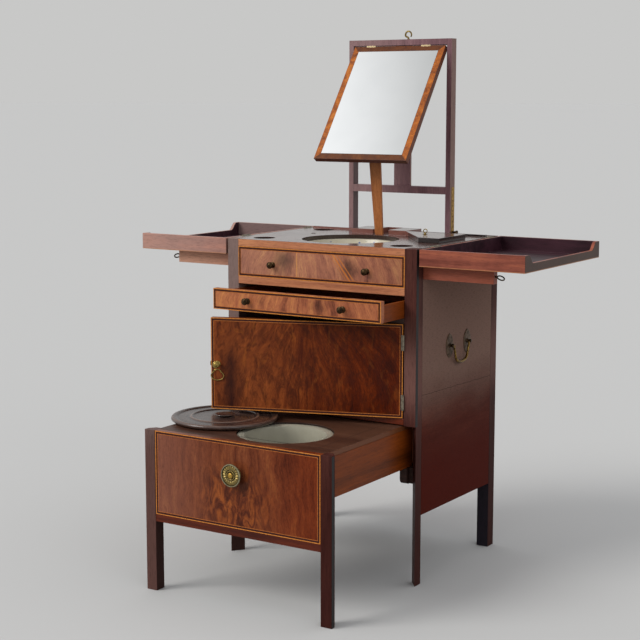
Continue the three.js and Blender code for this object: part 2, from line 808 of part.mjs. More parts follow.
function pot(x, y) {
  const rim = pot_hole_radius - run_gap;
  const ledge = seat_height - pot_ledge_depth + touch_gap;
  const rim_top = ledge + pot_rim_thickness;
  const bottom = rim_top - pot_depth;
  const belly = (rim_top + bottom) / 2;
  const outside = [
    [0, bottom], [pot_foot_radius, bottom], [pot_foot_radius + pot_wall * 2, bottom + pot_wall],
    [pot_belly_radius, belly], [pot_neck_radius, ledge - pot_wall * 2], [pot_neck_radius, ledge],
    [rim, ledge], [rim, rim_top],
  ];
  const inside = [
    [pot_neck_radius - pot_wall, rim_top], [pot_neck_radius - pot_wall, ledge - pot_wall * 2],
    [pot_belly_radius - pot_wall, belly], [pot_foot_radius, bottom + pot_wall * 2],
    [0, bottom + pot_wall * 2],
  ];
  return piece('pot', closed(turned([...outside, ...inside], round_steps).translate(x, y, 0)), 'pot_glaze');
}

function pot_lid() {
  const [radius, thick, step] = [pot_lid_radius, pot_lid_thickness, pot_lid_step];
  const rim = radius - pot_lid_rim_width;
  const low = thick - step;
  const profile = [
    [0, 0], [radius - pot_lid_foot_inset, 0], [radius - step / 2, pot_lid_edge_rise - step],
    [radius, pot_lid_edge_rise], [radius - step / 2, thick - step / 2], [radius - step * 2, thick],
    [rim + step, thick - step / 2], [rim, low],
    [pot_lid_ring_radius + step, low], [pot_lid_ring_radius, thick], [pot_lid_ring_radius - step, low],
    [pot_lid_knob_neck, low], [pot_lid_knob_neck, thick + pot_lid_knob_lift],
    [pot_lid_knob_radius, thick + pot_lid_knob_lift],
    [pot_lid_knob_radius, thick + pot_lid_knob_height - pot_lid_knob_lift],
    [0, thick + pot_lid_knob_height],
  ];
  const lid = turned(profile, round_steps)
    .translate(-pot_lid_left, commode_front + pot_lid_behind_front, seat_height + touch_gap);
  return piece('pot_lid', closed(lid), 'lid_wood');
}

function rising_frame() {
  const half = frame_width / 2;
  const [y0, y1] = [frame_front, frame_front + frame_depth];
  const inner = half - upright_width;
  const joined = [
    box(-half, -inner, y0, y1, case_height - frame_below, frame_top),
    box(inner, half, y0, y1, case_height - frame_below, frame_top),
    box(-half, half, y0, y1, frame_top - top_rail_height, frame_top),
    box(-half, half, y0, y1, cross_rail_bottom, cross_rail_bottom + cross_rail_height),
    box(-muntin_width / 2, muntin_width / 2, y1 - muntin_thickness, y1,
      cross_rail_bottom + cut_over, frame_top - cut_over),
  ];
  const bed = box(half - rack_thickness + rack_proud - touch_gap, half + cut_over,
    rack_front - touch_gap, rack_front + rack_width + touch_gap,
    rack_top - rack_length - touch_gap, rack_top + touch_gap);
  return piece('mirror_frame', carved(joined, [bed]), 'frame_wood');
}

function rack() {
  const x1 = frame_width / 2 + rack_proud;
  const x0 = x1 - rack_thickness;
  const plate = box(x0, x1, rack_front, rack_front + rack_width, rack_top - rack_length, rack_top);
  const pitch = (rack_length - 2 * rack_hole_inset) / (rack_holes - 1);
  const cuts = [];
  for (let i = 0; i < rack_holes; i += 1) {
    cuts.push(rod_x(rack_hole_radius, x0 - cut_over, x1 + cut_over, rack_front + rack_width / 2,
      rack_top - rack_hole_inset - i * pitch, ring_sides));
  }
  return piece('rack', carved([plate], cuts), 'brass');
}

function rack_catch() {
  const x0 = frame_width / 2 + rack_proud + touch_gap;
  const y = rack_front + rack_width / 2;
  const z = case_height + catch_head_radius + touch_gap;
  const pin = rod_x(catch_radius, x0, x0 + catch_length, y, z);
  const head = rod_x(catch_head_radius, x0 + catch_length - catch_head_length, x0 + catch_length, y, z);
  return piece('rack_catch', carved([pin, head]), 'brass');
}

function top_loop() {
  const base = frame_top + touch_gap;
  const centre = base + loop_height - loop_radius - loop_tube;
  const y = frame_front + frame_depth / 2;
  const eye = new THREE.TorusGeometry(loop_radius, loop_tube, ring_sides, ring_steps).rotateX(Math.PI / 2)
    .translate(loop_place, y, centre);
  const stem = disc(loop_stem_radius, loop_place, y, base, centre - loop_radius, small_steps);
  return piece('top_loop', carved([eye, stem]), 'brass');
}

// Glass, its frame and the strut, drawn hanging straight down and turned about the hinge line
function looking_glass() {
  const half = glass_half_width;
  const thick = glass_frame_thickness;
  const board_shape = box(-half, half, 0, thick, -glass_frame_length, 0);
  const reach = half - glass_member;
  const low = -glass_frame_length + glass_member;
  const bed = box(-reach, reach, -cut_over, glass_thickness + touch_gap, low, -glass_member);
  const sheet = box(-reach + touch_gap, reach - touch_gap, 0, glass_thickness,
    low + touch_gap, -glass_member - touch_gap);
  const tilted = new THREE.Group();
  tilted.position.copy(glass_axis);
  tilted.rotation.x = -glass_tilt;
  tilted.add(
    piece('glass_frame', carved([board_shape], [bed]), 'burr'),
    piece('looking_glass', closed(sheet), 'mirror'),
  );
  return tilted;
}

function strut() {
  const down = glass_frame_length - strut_from_bottom;
  const behind = glass_frame_thickness + touch_gap + strut_thickness / 2;
  const y = glass_axis.y - down * Math.sin(glass_tilt) + behind * Math.cos(glass_tilt);
  const z = glass_axis.z - down * Math.cos(glass_tilt) - behind * Math.sin(glass_tilt);
  const lean = Math.atan2(strut_foot_place - y, z - case_height);
  const foot_lift = (strut_thickness / 2) * Math.sin(lean) + touch_gap;
  const length = (z - case_height - foot_lift) / Math.cos(lean);
  const [top, foot] = [strut_top_width / 2, strut_foot_width / 2];
  const round = strut_thickness / 2;
  const bar = deep_prism([[-foot, -length], [foot, -length], [top, 0], [-top, 0]], -round, round);
  const knuckle = rod_x(round, -top, top, 0, 0);
  const leaning = new THREE.Group();
  leaning.position.set(0, y, z);
  leaning.rotation.x = lean;
  leaning.add(piece('strut', carved([bar, knuckle]), 'burr'));
  return leaning;
}

function plate_outline() {
  const [across, up] = [handle_plate_half_width, handle_plate_half_height];
  const shape = new THREE.Shape();
  shape.moveTo(0, up * plate_top_share);
  for (const [bend_x, bend_z, end_x, end_z] of plate_curve_shares) {
    shape.quadraticCurveTo(across * bend_x, up * bend_z, across * end_x, up * end_z);
  }
  const ends = [[0, plate_top_share], ...plate_curve_shares.map(([, , end_x, end_z]) => [end_x, end_z])];
  for (let i = plate_curve_shares.length - 1; i >= 0; i -= 1) {
    const [bend_x, bend_z] = plate_curve_shares[i];
    const [end_x, end_z] = ends[i];
    shape.quadraticCurveTo(-across * bend_x, up * bend_z, -across * end_x, up * end_z);
  }
  return shape;
}

function handle_plate(name, side, y) {
  const outline = plate_outline();
  const plate = extruded(outline, handle_plate_thickness, plate_steps).applyMatrix4(along_x)
    .translate(half_width + touch_gap, y, handle_height);
  const boss = rod_x(handle_boss_radius, half_width + touch_gap, half_width + handle_boss_reach,
    y, handle_height);
  const shape = carved([plate, boss]);
  if (side < 0) {
    shape.scale(-1, 1, 1);
  }
  return piece(name, closed(shape), 'brass');
}

function bail(name, side, middle) {
  const half = handle_pitch / 2 - handle_boss_radius - bail_tube - touch_gap;
  const x = half_width + handle_boss_reach - bail_tube - touch_gap;
  const points = [];
  for (let i = 0; i <= bail_steps; i += 1) {
    const turn = (i / bail_steps) * Math.PI;
    const z = handle_height - bail_drop * Math.sin(turn);
    points.push(new THREE.Vector3(x, middle - half * Math.cos(turn), z));
  }
  const section = new THREE.Shape();
  section.absarc(0, 0, bail_tube, 0, Math.PI * 2);
  const bow = new THREE.ExtrudeGeometry(section, {
    steps: bail_steps * 2, curveSegments: bail_sides, extrudePath: new THREE.CatmullRomCurve3(points),
    bevelEnabled: false,
  });
  if (side < 0) {
    bow.scale(-1, 1, 1);
  }
  return piece(name, closed(bow), 'brass');
}

function side_handle(prefix, side) {
  const middle = case_depth / 2;
  return [
    handle_plate(`${prefix}_handle_plate_front`, side, middle - handle_pitch / 2),
    handle_plate(`${prefix}_handle_plate_rear`, side, middle + handle_pitch / 2),
    bail(`${prefix}_bail`, side, middle),
  ];
}

const washstand = new THREE.Group();
for (const [prefix, side] of [['left', -1], ['right', 1]]) {
  washstand.add(
    front_leg(`front_${prefix}_leg`, side),
    rear_leg(`rear_${prefix}_leg`, side),
    side_panel(`${prefix}_side`, side),
    runner(`${prefix}_runner`, side),
    tray_hinge(`${prefix}_tray_hinge_front`, side, tray_hinge_front),
    tray_hinge(`${prefix}_tray_hinge_rear`, side, tray_hinge_rear),
    tray(`${prefix}_tray`, side),
    ...loper(prefix, side),
    ...side_handle(prefix, side),
  );
}
washstand.add(back_panel(), top_board(), ...frieze(), ...shelf_boards(), shaft_board(), basin());
washstand.add(left_till_lid(), right_till_lid());
washstand.add(...drawer(), door(), ...commode());
washstand.add(rising_frame(), rack(), rack_catch(), top_loop(), looking_glass(), strut());
washstand.position.y = -centre_line;

export default washstand;
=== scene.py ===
# Looks of the opened washstand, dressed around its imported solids. Lengths are in metres.
import json
import math
from contextlib import contextmanager

import bmesh
import bpy
from mathutils import Matrix, Vector


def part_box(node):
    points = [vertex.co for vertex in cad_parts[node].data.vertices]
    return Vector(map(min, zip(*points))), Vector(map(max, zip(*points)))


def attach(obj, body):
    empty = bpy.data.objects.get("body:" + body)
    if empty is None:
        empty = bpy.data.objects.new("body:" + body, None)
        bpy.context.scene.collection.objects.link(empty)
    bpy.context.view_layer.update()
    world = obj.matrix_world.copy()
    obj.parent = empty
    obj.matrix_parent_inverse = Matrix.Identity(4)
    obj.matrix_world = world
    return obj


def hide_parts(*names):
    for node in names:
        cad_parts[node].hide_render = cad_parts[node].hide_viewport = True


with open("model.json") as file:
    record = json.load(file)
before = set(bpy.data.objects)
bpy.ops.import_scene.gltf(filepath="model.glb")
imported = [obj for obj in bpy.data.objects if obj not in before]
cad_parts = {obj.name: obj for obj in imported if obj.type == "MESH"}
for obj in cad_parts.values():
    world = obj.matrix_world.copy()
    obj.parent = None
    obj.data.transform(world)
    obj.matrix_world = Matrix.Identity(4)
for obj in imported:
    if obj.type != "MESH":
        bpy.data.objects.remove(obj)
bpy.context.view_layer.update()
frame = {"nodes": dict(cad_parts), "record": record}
MM = 0.001
SIDES = (("left", -1), ("right", 1))
ENDS = ("front", "rear")
QUARTER = math.radians(90)

# Places that the fittings follow, taken from the solids
CASE_LOW, CASE_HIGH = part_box("top_board")
TOP_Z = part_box("front_left_leg")[1].z
FRONT_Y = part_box("frieze")[0].y
POST_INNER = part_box("frieze")[1].x
SIDE_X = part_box("right_side")[1].x
HANDLE_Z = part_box("right_bail")[1].z
DOOR_HINGE = Vector((0.2467, -0.0304, 0.0))
DOOR_TURN = (DOOR_HINGE, "Z", math.radians(18.5))
DOOR_KNOB_X = -0.2288
DOOR_KNOB_Z = 0.538
GLASS_AXIS = Vector((0.0, 0.3725, 1.337))
GLASS_TURN = (GLASS_AXIS, "X", math.radians(-35.3))
GLASS_LENGTH = 0.361
GLASS_HALF_WIDTH = 0.139
CRACK_HEIGHT = 0.481
CRACK_SLOPE = -0.019
FRIEZE_JOINT_X = -0.066
DOOR_JOINT_X = 0.004
TRAY_WALL = 8.6 * MM
X_AXIS, Y_AXIS, Z_AXIS = range(3)

# How far trim stands proud of a face, and how far it is let in
PROUD = 0.06 * MM
LINE_PROUD = 0.08 * MM
LET_IN = 0.4 * MM


def linear(code):
    """Linear colour of a hexadecimal one."""
    parts = [int(code[i : i + 2], 16) / 255 for i in (1, 3, 5)]
    return [p / 12.92 if p <= 0.04045 else ((p + 0.055) / 1.055) ** 2.4 for p in parts] + [1.0]


def operator(kind, swapped=False):
    """A method of Term that adds a math node of one kind."""
    def act(self, other):
        pair = (other, self) if swapped else (self, other)
        return self.graph.math(kind, *pair)
    return act


class Term:
    """A number in a node tree, for sums and comparisons in plain arithmetic."""

    def __init__(self, graph, socket):
        self.graph = graph
        self.socket = socket

    def __abs__(self):
        return self.graph.math("ABSOLUTE", self)

    __add__ = operator("ADD")
    __radd__ = operator("ADD", True)
    __sub__ = operator("SUBTRACT")
    __rsub__ = operator("SUBTRACT", True)
    __mul__ = operator("MULTIPLY")
    __rmul__ = operator("MULTIPLY", True)
    __truediv__ = operator("DIVIDE")
    __gt__ = operator("GREATER_THAN")
    __lt__ = operator("LESS_THAN")


class Graph:
    """A node tree of a material or of the world, built by short calls."""

    def __init__(self, name, world=False):
        owners, output, place = bpy.data.materials, "ShaderNodeOutputMaterial", "Object"
        if world:
            owners, output, place = bpy.data.worlds, "ShaderNodeOutputWorld", "Generated"
        self.owner = owners.new(name)
        self.owner.use_nodes = True
        self.tree = self.owner.node_tree
        self.tree.nodes.clear()
        self.out = self.tree.nodes.new(output)
        self.place = self.tree.nodes.new("ShaderNodeTexCoord").outputs[place]

    def node(self, kind, settings=(), inputs=()):
        made = self.tree.nodes.new(kind)
        for key, value in dict(settings).items():
            setattr(made, key, value)
        for key, value in dict(inputs).items():
            self.put(made.inputs[key], value)
        return made

    def put(self, socket, value):
        """Links a socket, or sets it to a number or a hexadecimal colour."""
        value = getattr(value, "socket", value)
        if isinstance(value, bpy.types.NodeSocket):
            self.tree.links.new(value, socket)
        else:
            socket.default_value = linear(value) if isinstance(value, str) else value

    def math(self, operation, first, second=0.0):
        made = self.node("ShaderNodeMath", {"operation": operation}, {0: first, 1: second})
        return Term(self, made.outputs[0])

    def reach(self, across, up):
        """Distance from two parts of it."""
        return self.math("SQRT", across * across + up * up)

    def mapping(self, vector, scale=(1, 1, 1), rotation=(0, 0, 0), location=(0, 0, 0)):
        inputs = {"Vector": vector, "Scale": scale, "Rotation": rotation, "Location": location}
        return self.node("ShaderNodeMapping", (), inputs).outputs[0]

    def turned(self, turn):
        """Coordinates turned back by an angle about a point."""
        if not turn:
            return self.place
        about, axis, angle = turn
        back = Matrix.Rotation(-angle, 3, axis)
        return self.mapping(self.place, rotation=back.to_euler(), location=about - back @ about)

    def axes(self, vector):
        outputs = self.node("ShaderNodeSeparateXYZ", (), {0: vector}).outputs
        return [Term(self, socket) for socket in outputs]

    def vector(self, x, y, z):
        return self.node("ShaderNodeCombineXYZ", (), {0: x, 1: y, 2: z}).outputs[0]

    def noise(self, vector, scale, detail=3.0, rough=0.5, distortion=0.0):
        inputs = {"Vector": vector, "Scale": scale, "Detail": detail, "Roughness": rough,
                  "Distortion": distortion}
        return Term(self, self.node("ShaderNodeTexNoise", (), inputs).outputs[0])

    def ramp(self, factor, stops):
        made = self.node("ShaderNodeValToRGB", (), {0: factor})
        elements = made.color_ramp.elements
        while len(elements) < len(stops):
            elements.new(1.0)
        for element, (position, colour) in zip(elements, stops):
            element.position = position
            element.color = linear(colour)
        return made.outputs[0]

    def span(self, value, low, high, to_low=0.0, to_high=1.0):
        """A smooth step from one value at a low place to another at a high one."""
        made = self.node("ShaderNodeMapRange", {"interpolation_type": "SMOOTHSTEP"},
                         {0: value, 1: low, 2: high, 3: to_low, 4: to_high})
        return Term(self, made.outputs[0])

    def mix(self, factor, first, second, blend="MIX"):
        made = self.node("ShaderNodeMix", {"data_type": "RGBA", "blend_type": blend},
                         {0: factor, 6: first, 7: second})
        return made.outputs[2]

    def bump(self, height, distance):
        return self.node("ShaderNodeBump", (), {"Height": height, "Distance": distance}).outputs[0]

    def surface(self, colour, roughness, normal=None, **constants):
        made = self.node("ShaderNodeBsdfPrincipled")
        self.put(made.inputs["Base Color"], colour)
        self.put(made.inputs["Roughness"], roughness)
        if normal is not None:
            self.put(made.inputs["Normal"], normal)
        for key, value in constants.items():
            made.inputs[key.replace("_", " ")].default_value = value
        self.tree.links.new(made.outputs[0], self.out.inputs["Surface"])
        return self.owner


def stretched(grain, along=0.055):
    """Scale that draws noise out along the grain."""
    return tuple(along if axis == grain else 1.0 for axis in "xyz")


def polish(graph, colour, grained, roughness, coat=0.05, shine=0.2, bump=0.00006):
    """Finish of polished wood: open pores, faint ripple and worn gloss."""
    pores = graph.noise(grained, 900, 2.0, 0.6)
    flecks = graph.span(pores, 0.36, 0.47, 0.62, 1.0)
    colour = graph.mix(0.8, colour, flecks, "MULTIPLY")
    wear = graph.noise(graph.place, 14, 3.0, 0.6)
    gloss = roughness - 0.07 + wear * 0.14
    normal = graph.bump(pores + graph.noise(grained, 90, 3.0), bump)
    return graph.surface(
        colour, gloss, normal, Coat_Weight=coat, Coat_Roughness=0.14, Specular_IOR_Level=shine
    )


def left_glare(tone, most, near, far):
    """Painted glare: a shade that grows lighter and greyer from one place across the stand to another,
    where the key light glances off the polish toward the left.
    """
    def shade(graph, colour):
        x = graph.axes(graph.place)[0]
        return graph.mix(graph.span(x, near, far, most, 0.0), colour, tone)
    return shade


def facing(graph, axis, low, high):
    """How far a face looks along an axis, from 0 to 1."""
    normal = graph.node("ShaderNodeNewGeometry").outputs["Normal"]
    return graph.span(graph.axes(normal)[axis], low, high)


def top_shade(graph, colour):
    """Painted shade: dark walls in the holes of the top and near-black ones round the proud lid; redder
    walls round the block.
    """
    x, _, z = graph.axes(graph.place)
    # Near-black painted shade on the walls of the proud lid; the block's walls keep their own red
    raised = graph.mix(x > 0.1, "#7c4c42", "#1e1312")
    # Painted shade on the walls of the holes, below the top
    wall = graph.mix(z > TOP_Z, "#33221e", raised)
    return graph.mix(facing(graph, Z_AXIS, 0.3, 0.8), wall, colour)


def frame_shade(graph, colour):
    """Painted glare paler toward the left, painted shade dark on the left upright's inner face, and painted
    light brown on the right one's outer face.
    """
    x = graph.axes(graph.place)[0]
    colour = left_glare("#a08480", 0.5, -0.15, 0.1)(graph, colour)
    # Painted shade on the left upright's inner face, painted light on the right one's outer face
    side_face_light_and_shade = graph.mix(x > 0.0, "#3c2c2e", "#8d7062")
    return graph.mix(facing(graph, X_AXIS, 0.5, 0.9) * 0.65, colour, side_face_light_and_shade)


def wood(name, tones, grain, roughness=0.34, figure=24, contrast=1.0, along=0.055, shade=None,
         **finish):
    """Plain grained wood with three tones along one axis."""
    graph = Graph(name)
    grained = graph.mapping(graph.place, stretched(grain, along))
    broad = graph.noise(grained, figure, 4.0, 0.55, 0.7)
    fine = graph.noise(grained, figure * 9, 5.0, 0.65, 0.2)
    patch = graph.noise(graph.place, 5, 2.0, 0.5)
    mixed = broad * 0.5 + fine * 0.34 + patch * 0.16
    half = 0.17 / contrast
    dark, middle, light = tones
    colour = graph.ramp(mixed, [(0.5 - half, dark), (0.5, middle), (0.5 + half, light)])
    if shade:
        colour = shade(graph, colour)
    return polish(graph, colour, grained, roughness, **finish)


def patched(graph, colour, x, z, patches):
    """Soft dark stains, each at a place with a radius and a depth."""
    ragged = graph.noise(graph.place, 45, 4.0, 0.6, 0.8) * 0.03
    for at_x, at_z, radius, depth in patches:
        reach = graph.reach(x - at_x, z - at_z) + ragged
        kept = graph.span(reach, 0.012, 0.015 + radius, 1.0 - depth, 1.0)
        colour = graph.mix(1.0, colour, kept, "MULTIPLY")
    return colour


def figured(name, tones, centre, base, curve, density=30, roughness=0.32, turn=None, patches=(),
            shade=None, spread=1.0, coat=0.05, shine=0.2):
    """Flame veneer: streaks that arch apart from a centre line, with soft stains on them."""
    graph = Graph(name)
    place = graph.turned(turn)
    x, y, z = graph.axes(place)
    rise = z - base
    side = graph.math("TANH", (x - centre) * 30.0)
    arch = rise * rise * curve
    warp = graph.noise(place, 8, 3.0, 0.5) * 0.05
    across = x + warp + side * arch
    thin_y = y * 0.5
    streaked = graph.vector(across, thin_y, z * 0.1)
    streaks = graph.noise(streaked, density, 4.0, 0.6, 0.3)
    hair = graph.noise(streaked, density * 10, 4.0, 0.62)
    clouds = graph.noise(graph.vector(across, thin_y, z * 0.4), 11, 3.0, 0.55, 0.6)
    mottle = graph.noise(place, 75, 3.0, 0.6, 1.0)
    mixed = streaks * 0.38 + clouds * 0.32 + hair * 0.2 + mottle * 0.1
    places = (0.38, 0.46, 0.53, 0.62)
    stops = [(0.5 + (at - 0.5) * spread, tone) for at, tone in zip(places, tones)]
    colour = graph.ramp(mixed, stops)
    colour = patched(graph, colour, x, z, patches)
    if shade:
        colour = shade(graph, colour, place)
    return polish(graph, colour, streaked, roughness, coat, shine)


def side_shade(graph, colour):
    """Paler and greyer above as a painted reflection; darker and redder below, partly the wood's own red
    and partly painted shade where the light falls off; a dark crack.
    """
    _, y, height = graph.axes(graph.place)
    wander = graph.noise(graph.mapping(graph.place, (0, 1, 0)), 30, 3.0) * 0.006
    crack = height + wander - y * CRACK_SLOPE
    crack = abs(crack - CRACK_HEIGHT)
    wave = graph.noise(graph.mapping(graph.place, (1, 0.4, 1)), 9, 3.0, 0.5) * 0.1
    height = height + (wave - 0.05)
    # Painted reflection: paler and greyer above
    colour = graph.mix(graph.span(height, 0.38, 0.54, 0.0, 0.8), colour, "#8e7468")
    # Darker and redder below: the wood's own red with painted shade
    colour = graph.mix(graph.span(height, 0.26, 0.46, 0.92, 0.1), colour, "#4e1409")
    return graph.mix(graph.span(crack, 0.0003, 0.001, 0.6, 0.0), colour, "#1c0f0c")


def post_shade(graph, colour):
    """Painted glare: taupe at the upper left. Painted shade: darker down the right and lower ones, dark on
    the inner faces of the legs at the left and on the rear legs' front faces. A paler band at mid height.
    """
    x, y, z = graph.axes(graph.place)
    # Painted glare at the upper left
    left = graph.span(x, -0.24, -0.1, 0.8, 0.0) * graph.span(z, 0.3, 0.6, 0.35, 1.0)
    colour = graph.mix(left, colour, "#8b7670")
    # Painted shade, darker down the right and low on the legs
    low = graph.mix(graph.span(x, -0.2, 0.1), "#5a3a34", "#2e0f0a")
    colour = graph.mix(graph.span(z, 0.3, 0.45, 0.55, 0.0), colour, low)
    middle = graph.span(z, 0.4, 0.5) * graph.span(z, 0.55, 0.7, 0.5, 0.0)
    colour = graph.mix(middle, colour, "#86625a")
    # Painted shade on the inner faces of the legs at the left
    inner = facing(graph, X_AXIS, 0.5, 0.9) * graph.span(z, 0.3, 0.42, 0.75, 0.0)
    inner = inner * graph.span(x, 0.1, 0.2, 1.0, 0.0)
    colour = graph.mix(inner, colour, "#1c0a08")
    # Painted shade on the rear legs' front faces
    rear = facing(graph, Y_AXIS, -0.5, -0.9) * (y > 0.3)
    return graph.mix(rear * 0.85, colour, "#26272f")


def frieze_shade(graph, colour, place):
    """A pale joint of two leaves and three bright slanting streaks, with painted shade darker toward the
    right end and painted glare paler toward the left.
    """
    x, _, z = graph.axes(place)
    joint = graph.span(abs(x - FRIEZE_JOINT_X), 0.0006, 0.0017, 0.9, 0.0)
    colour = graph.mix(joint, colour, "#d8924c")
    # Painted shade toward the right end
    colour = graph.mix(graph.span(x, 0.1, 0.24, 0.0, 0.3), colour, "#5c3222")
    streak_height, slant = 0.78, 0.8
    lean = x + (z - streak_height) * slant
    for at_x, width, most in ((0.068, 0.0042, 0.9), (0.08, 0.003, 0.75), (0.058, 0.002, 0.55)):
        away = abs(lean - at_x)
        colour = graph.mix(graph.span(away, width * 0.3, width, most, 0.0), colour, "#c8742c")
    # Painted glare toward the left
    return graph.mix(graph.span(x, -0.24, 0.2, 0.22, 0.0), colour, "#b48a78")


def door_shade(graph, colour, place):
    """Dark worn stain beside the knob, a fine joint, painted glare that brightens the left edge and painted
    shade that deepens the right half.
    """
    x, _, z = graph.axes(place)
    joint = graph.span(abs(x - DOOR_JOINT_X), 0.0004, 0.0012, 0.4, 0.0)
    colour = graph.mix(joint, colour, "#2a0f08")
    # Painted glare on the left edge
    colour = graph.mix(graph.span(x, -0.16, 0.02, 0.3, 0.0), colour, "#a0582f")
    # Painted shade on the right half
    right = graph.mix(graph.span(x, -0.06, 0.16), "#ffffff", "#d8b890")
    colour = graph.mix(1.0, colour, right, "MULTIPLY")
    drawn = graph.mapping(place, (1, 1, 0.45))
    for size, most, tone in ((20, 0.5, "#43190f"), (46, 0.4, "#2c120c")):
        blotch = graph.span(graph.noise(drawn, size, 4.0, 0.62, 1.6), 0.46, 0.62, 0.0, most)
        colour = graph.mix(blotch, colour, tone)
    gleam = graph.span(graph.noise(drawn, 34, 4.0, 0.6, 1.0), 0.56, 0.7, 0.0, 0.4)
    colour = graph.mix(gleam * graph.span(x, -0.2, 0.2, 1.0, 0.4), colour, "#a35a24")
    ragged = graph.noise(drawn, 30, 3.0) * 0.03
    stain_x = -0.193
    away = abs(x - stain_x) + ragged
    stain = graph.span(away, 0.016, 0.05, 0.85, 0.0) * graph.span(z, 0.54, 0.6, 1.0, 0.2)
    return graph.mix(stain, colour, "#2a1312")


def seat_shade(graph, colour):
    """Painted shade on the faces that do not look up, warmer toward the right rear, and a bare brown edge
    on either side.
    """
    x, y, _ = graph.axes(graph.place)
    # Painted shade on the walls of the hole and other faces that do not look up
    colour = graph.mix(facing(graph, Z_AXIS, 0.3, 0.8), "#241611", colour)
    warm = graph.span(x, 0.0, 0.2, 0.0, 0.2) * graph.span(y, -0.3, -0.1)
    colour = graph.mix(warm, colour, "#7a5440")
    edge = abs(x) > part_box("seat_board")[1].x - 0.4 * MM
    return graph.mix(edge, colour, "#6e3f24")


def commode_shade(graph, colour, place):
    """Wild orange figure low in the middle of the straight-grained front, with painted glare paler toward
    the left and painted shade darker toward the right.
    """
    x, _, z = graph.axes(place)
    figure_height = 0.255
    up = z - figure_height
    reach = graph.math("SQRT", x * x + up * up * 1.3)
    wild = graph.noise(graph.mapping(place, (1, 1, 0.4)), 44, 5.0, 0.62, 1.1)
    figure = graph.ramp(wild, [(0.36, "#2e110d"), (0.48, "#5c2a18"), (0.62, "#9c5428")])
    colour = graph.mix(graph.span(reach, 0.04, 0.15, 0.8, 0.0), colour, figure)
    # Painted glare toward the left
    colour = graph.mix(graph.span(x, -0.24, -0.02, 0.42, 0.0), colour, "#8c5f52")
    # Painted shade toward the right
    right = graph.span(x, 0.02, 0.22)
    return graph.mix(right, colour, graph.mix(1.0, colour, "#f0c8a0", "MULTIPLY"))


def brass(name, colour="#9c8448", dark="#3a2c18", tarnish=0.5, roughness=0.33, metallic=0.9):
    graph = Graph(name)
    patina = graph.noise(graph.place, 130, 4.0, 0.65, 0.5)
    mask = graph.span(patina, 0.42, 0.66, 0.0, tarnish)
    tone = graph.mix(mask, colour, dark)
    rough = graph.span(patina, 0.3, 0.7, roughness - 0.08, roughness + 0.18)
    normal = graph.bump(graph.noise(graph.place, 420, 3.0), 0.00008)
    return graph.surface(tone, rough, normal, Metallic=metallic)


def rosette_brass():
    """Worn brass with a pale rim, dark grooves and a gold boss."""
    graph = Graph("rosette_brass")
    low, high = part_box("commode_knob")
    middle = (low + high) / 2
    x, _, z = graph.axes(graph.place)
    share = graph.reach(x - middle.x, z - middle.z) / ((high.x - low.x) / 2)
    tones_share = [(0.0, "#c39c48"), (0.2, "#b58f40"), (0.28, "#2c2216"), (0.4, "#8c7842"),
                   (0.47, "#2a2015"), (0.56, "#9a8650"), (0.78, "#847242"), (0.86, "#241b11"),
                   (0.91, "#a69e80"), (1.0, "#8f8968")]
    tone = graph.ramp(share, tones_share)
    worn = graph.span(graph.noise(graph.place, 160, 3.0, 0.6), 0.4, 0.7, 0.0, 0.4)
    tone = graph.mix(worn, tone, "#2c2318")
    return graph.surface(tone, 0.34, Metallic=0.85)


def glaze(name, colour, tint, roughness=0.12, sprigs=False):
    graph = Graph(name)
    clouds = graph.noise(graph.place, 18, 3.0, 0.5)
    tone = graph.mix(graph.span(clouds, 0.35, 0.7, 0.0, 0.5), colour, tint)
    specks = graph.noise(graph.place, 500, 2.0, 0.5)
    tone = graph.mix(graph.span(specks, 0.7, 0.78, 0.0, 0.3), tone, "#7a725c")
    if sprigs:
        tone = sprigged(graph, tone)
    normal = graph.bump(graph.noise(graph.place, 26, 2.0), 0.0003)
    return graph.surface(tone, roughness, normal, Coat_Weight=0.25, Coat_Roughness=0.1)


def sprigged(graph, tone):
    """Scattered small blue and green marks round the wall of the basin."""
    x, y, z = graph.axes(graph.place)
    low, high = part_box("basin")
    middle = (low + high) / 2
    angle = graph.math("ARCTAN2", y - middle.y, x)
    drop = high.z - z
    flat = graph.vector(angle * 0.11, drop, 0.0)
    cells = graph.node("ShaderNodeTexVoronoi", {"voronoi_dimensions": "2D"},
                       {"Vector": flat, "Scale": 75.0, "Randomness": 0.75})
    spot = graph.span(cells.outputs["Distance"], 0.16, 0.24, 1.0, 0.0)
    chosen = graph.axes(cells.outputs["Color"])[0] > 0.5
    band = graph.span(drop, 0.004, 0.007) * graph.span(drop, 0.018, 0.024, 1.0, 0.0)
    mask = spot * chosen * band
    hue = graph.axes(cells.outputs["Color"])[1] > 0.45
    mark = graph.mix(hue, "#5e7458", "#3d4f8c")
    return graph.mix(mask * 0.85, tone, mark)


def plain(name, colour, roughness=0.5, **constants):
    """Small trim of one tone with a faint grain in it."""
    graph = Graph(name)
    grain = graph.noise(graph.mapping(graph.place, (1, 1, 1)), 240, 4.0, 0.6)
    tone = graph.mix(graph.span(grain, 0.3, 0.7, 0.0, 0.35), colour, "#000000")
    return graph.surface(tone, roughness, **constants)


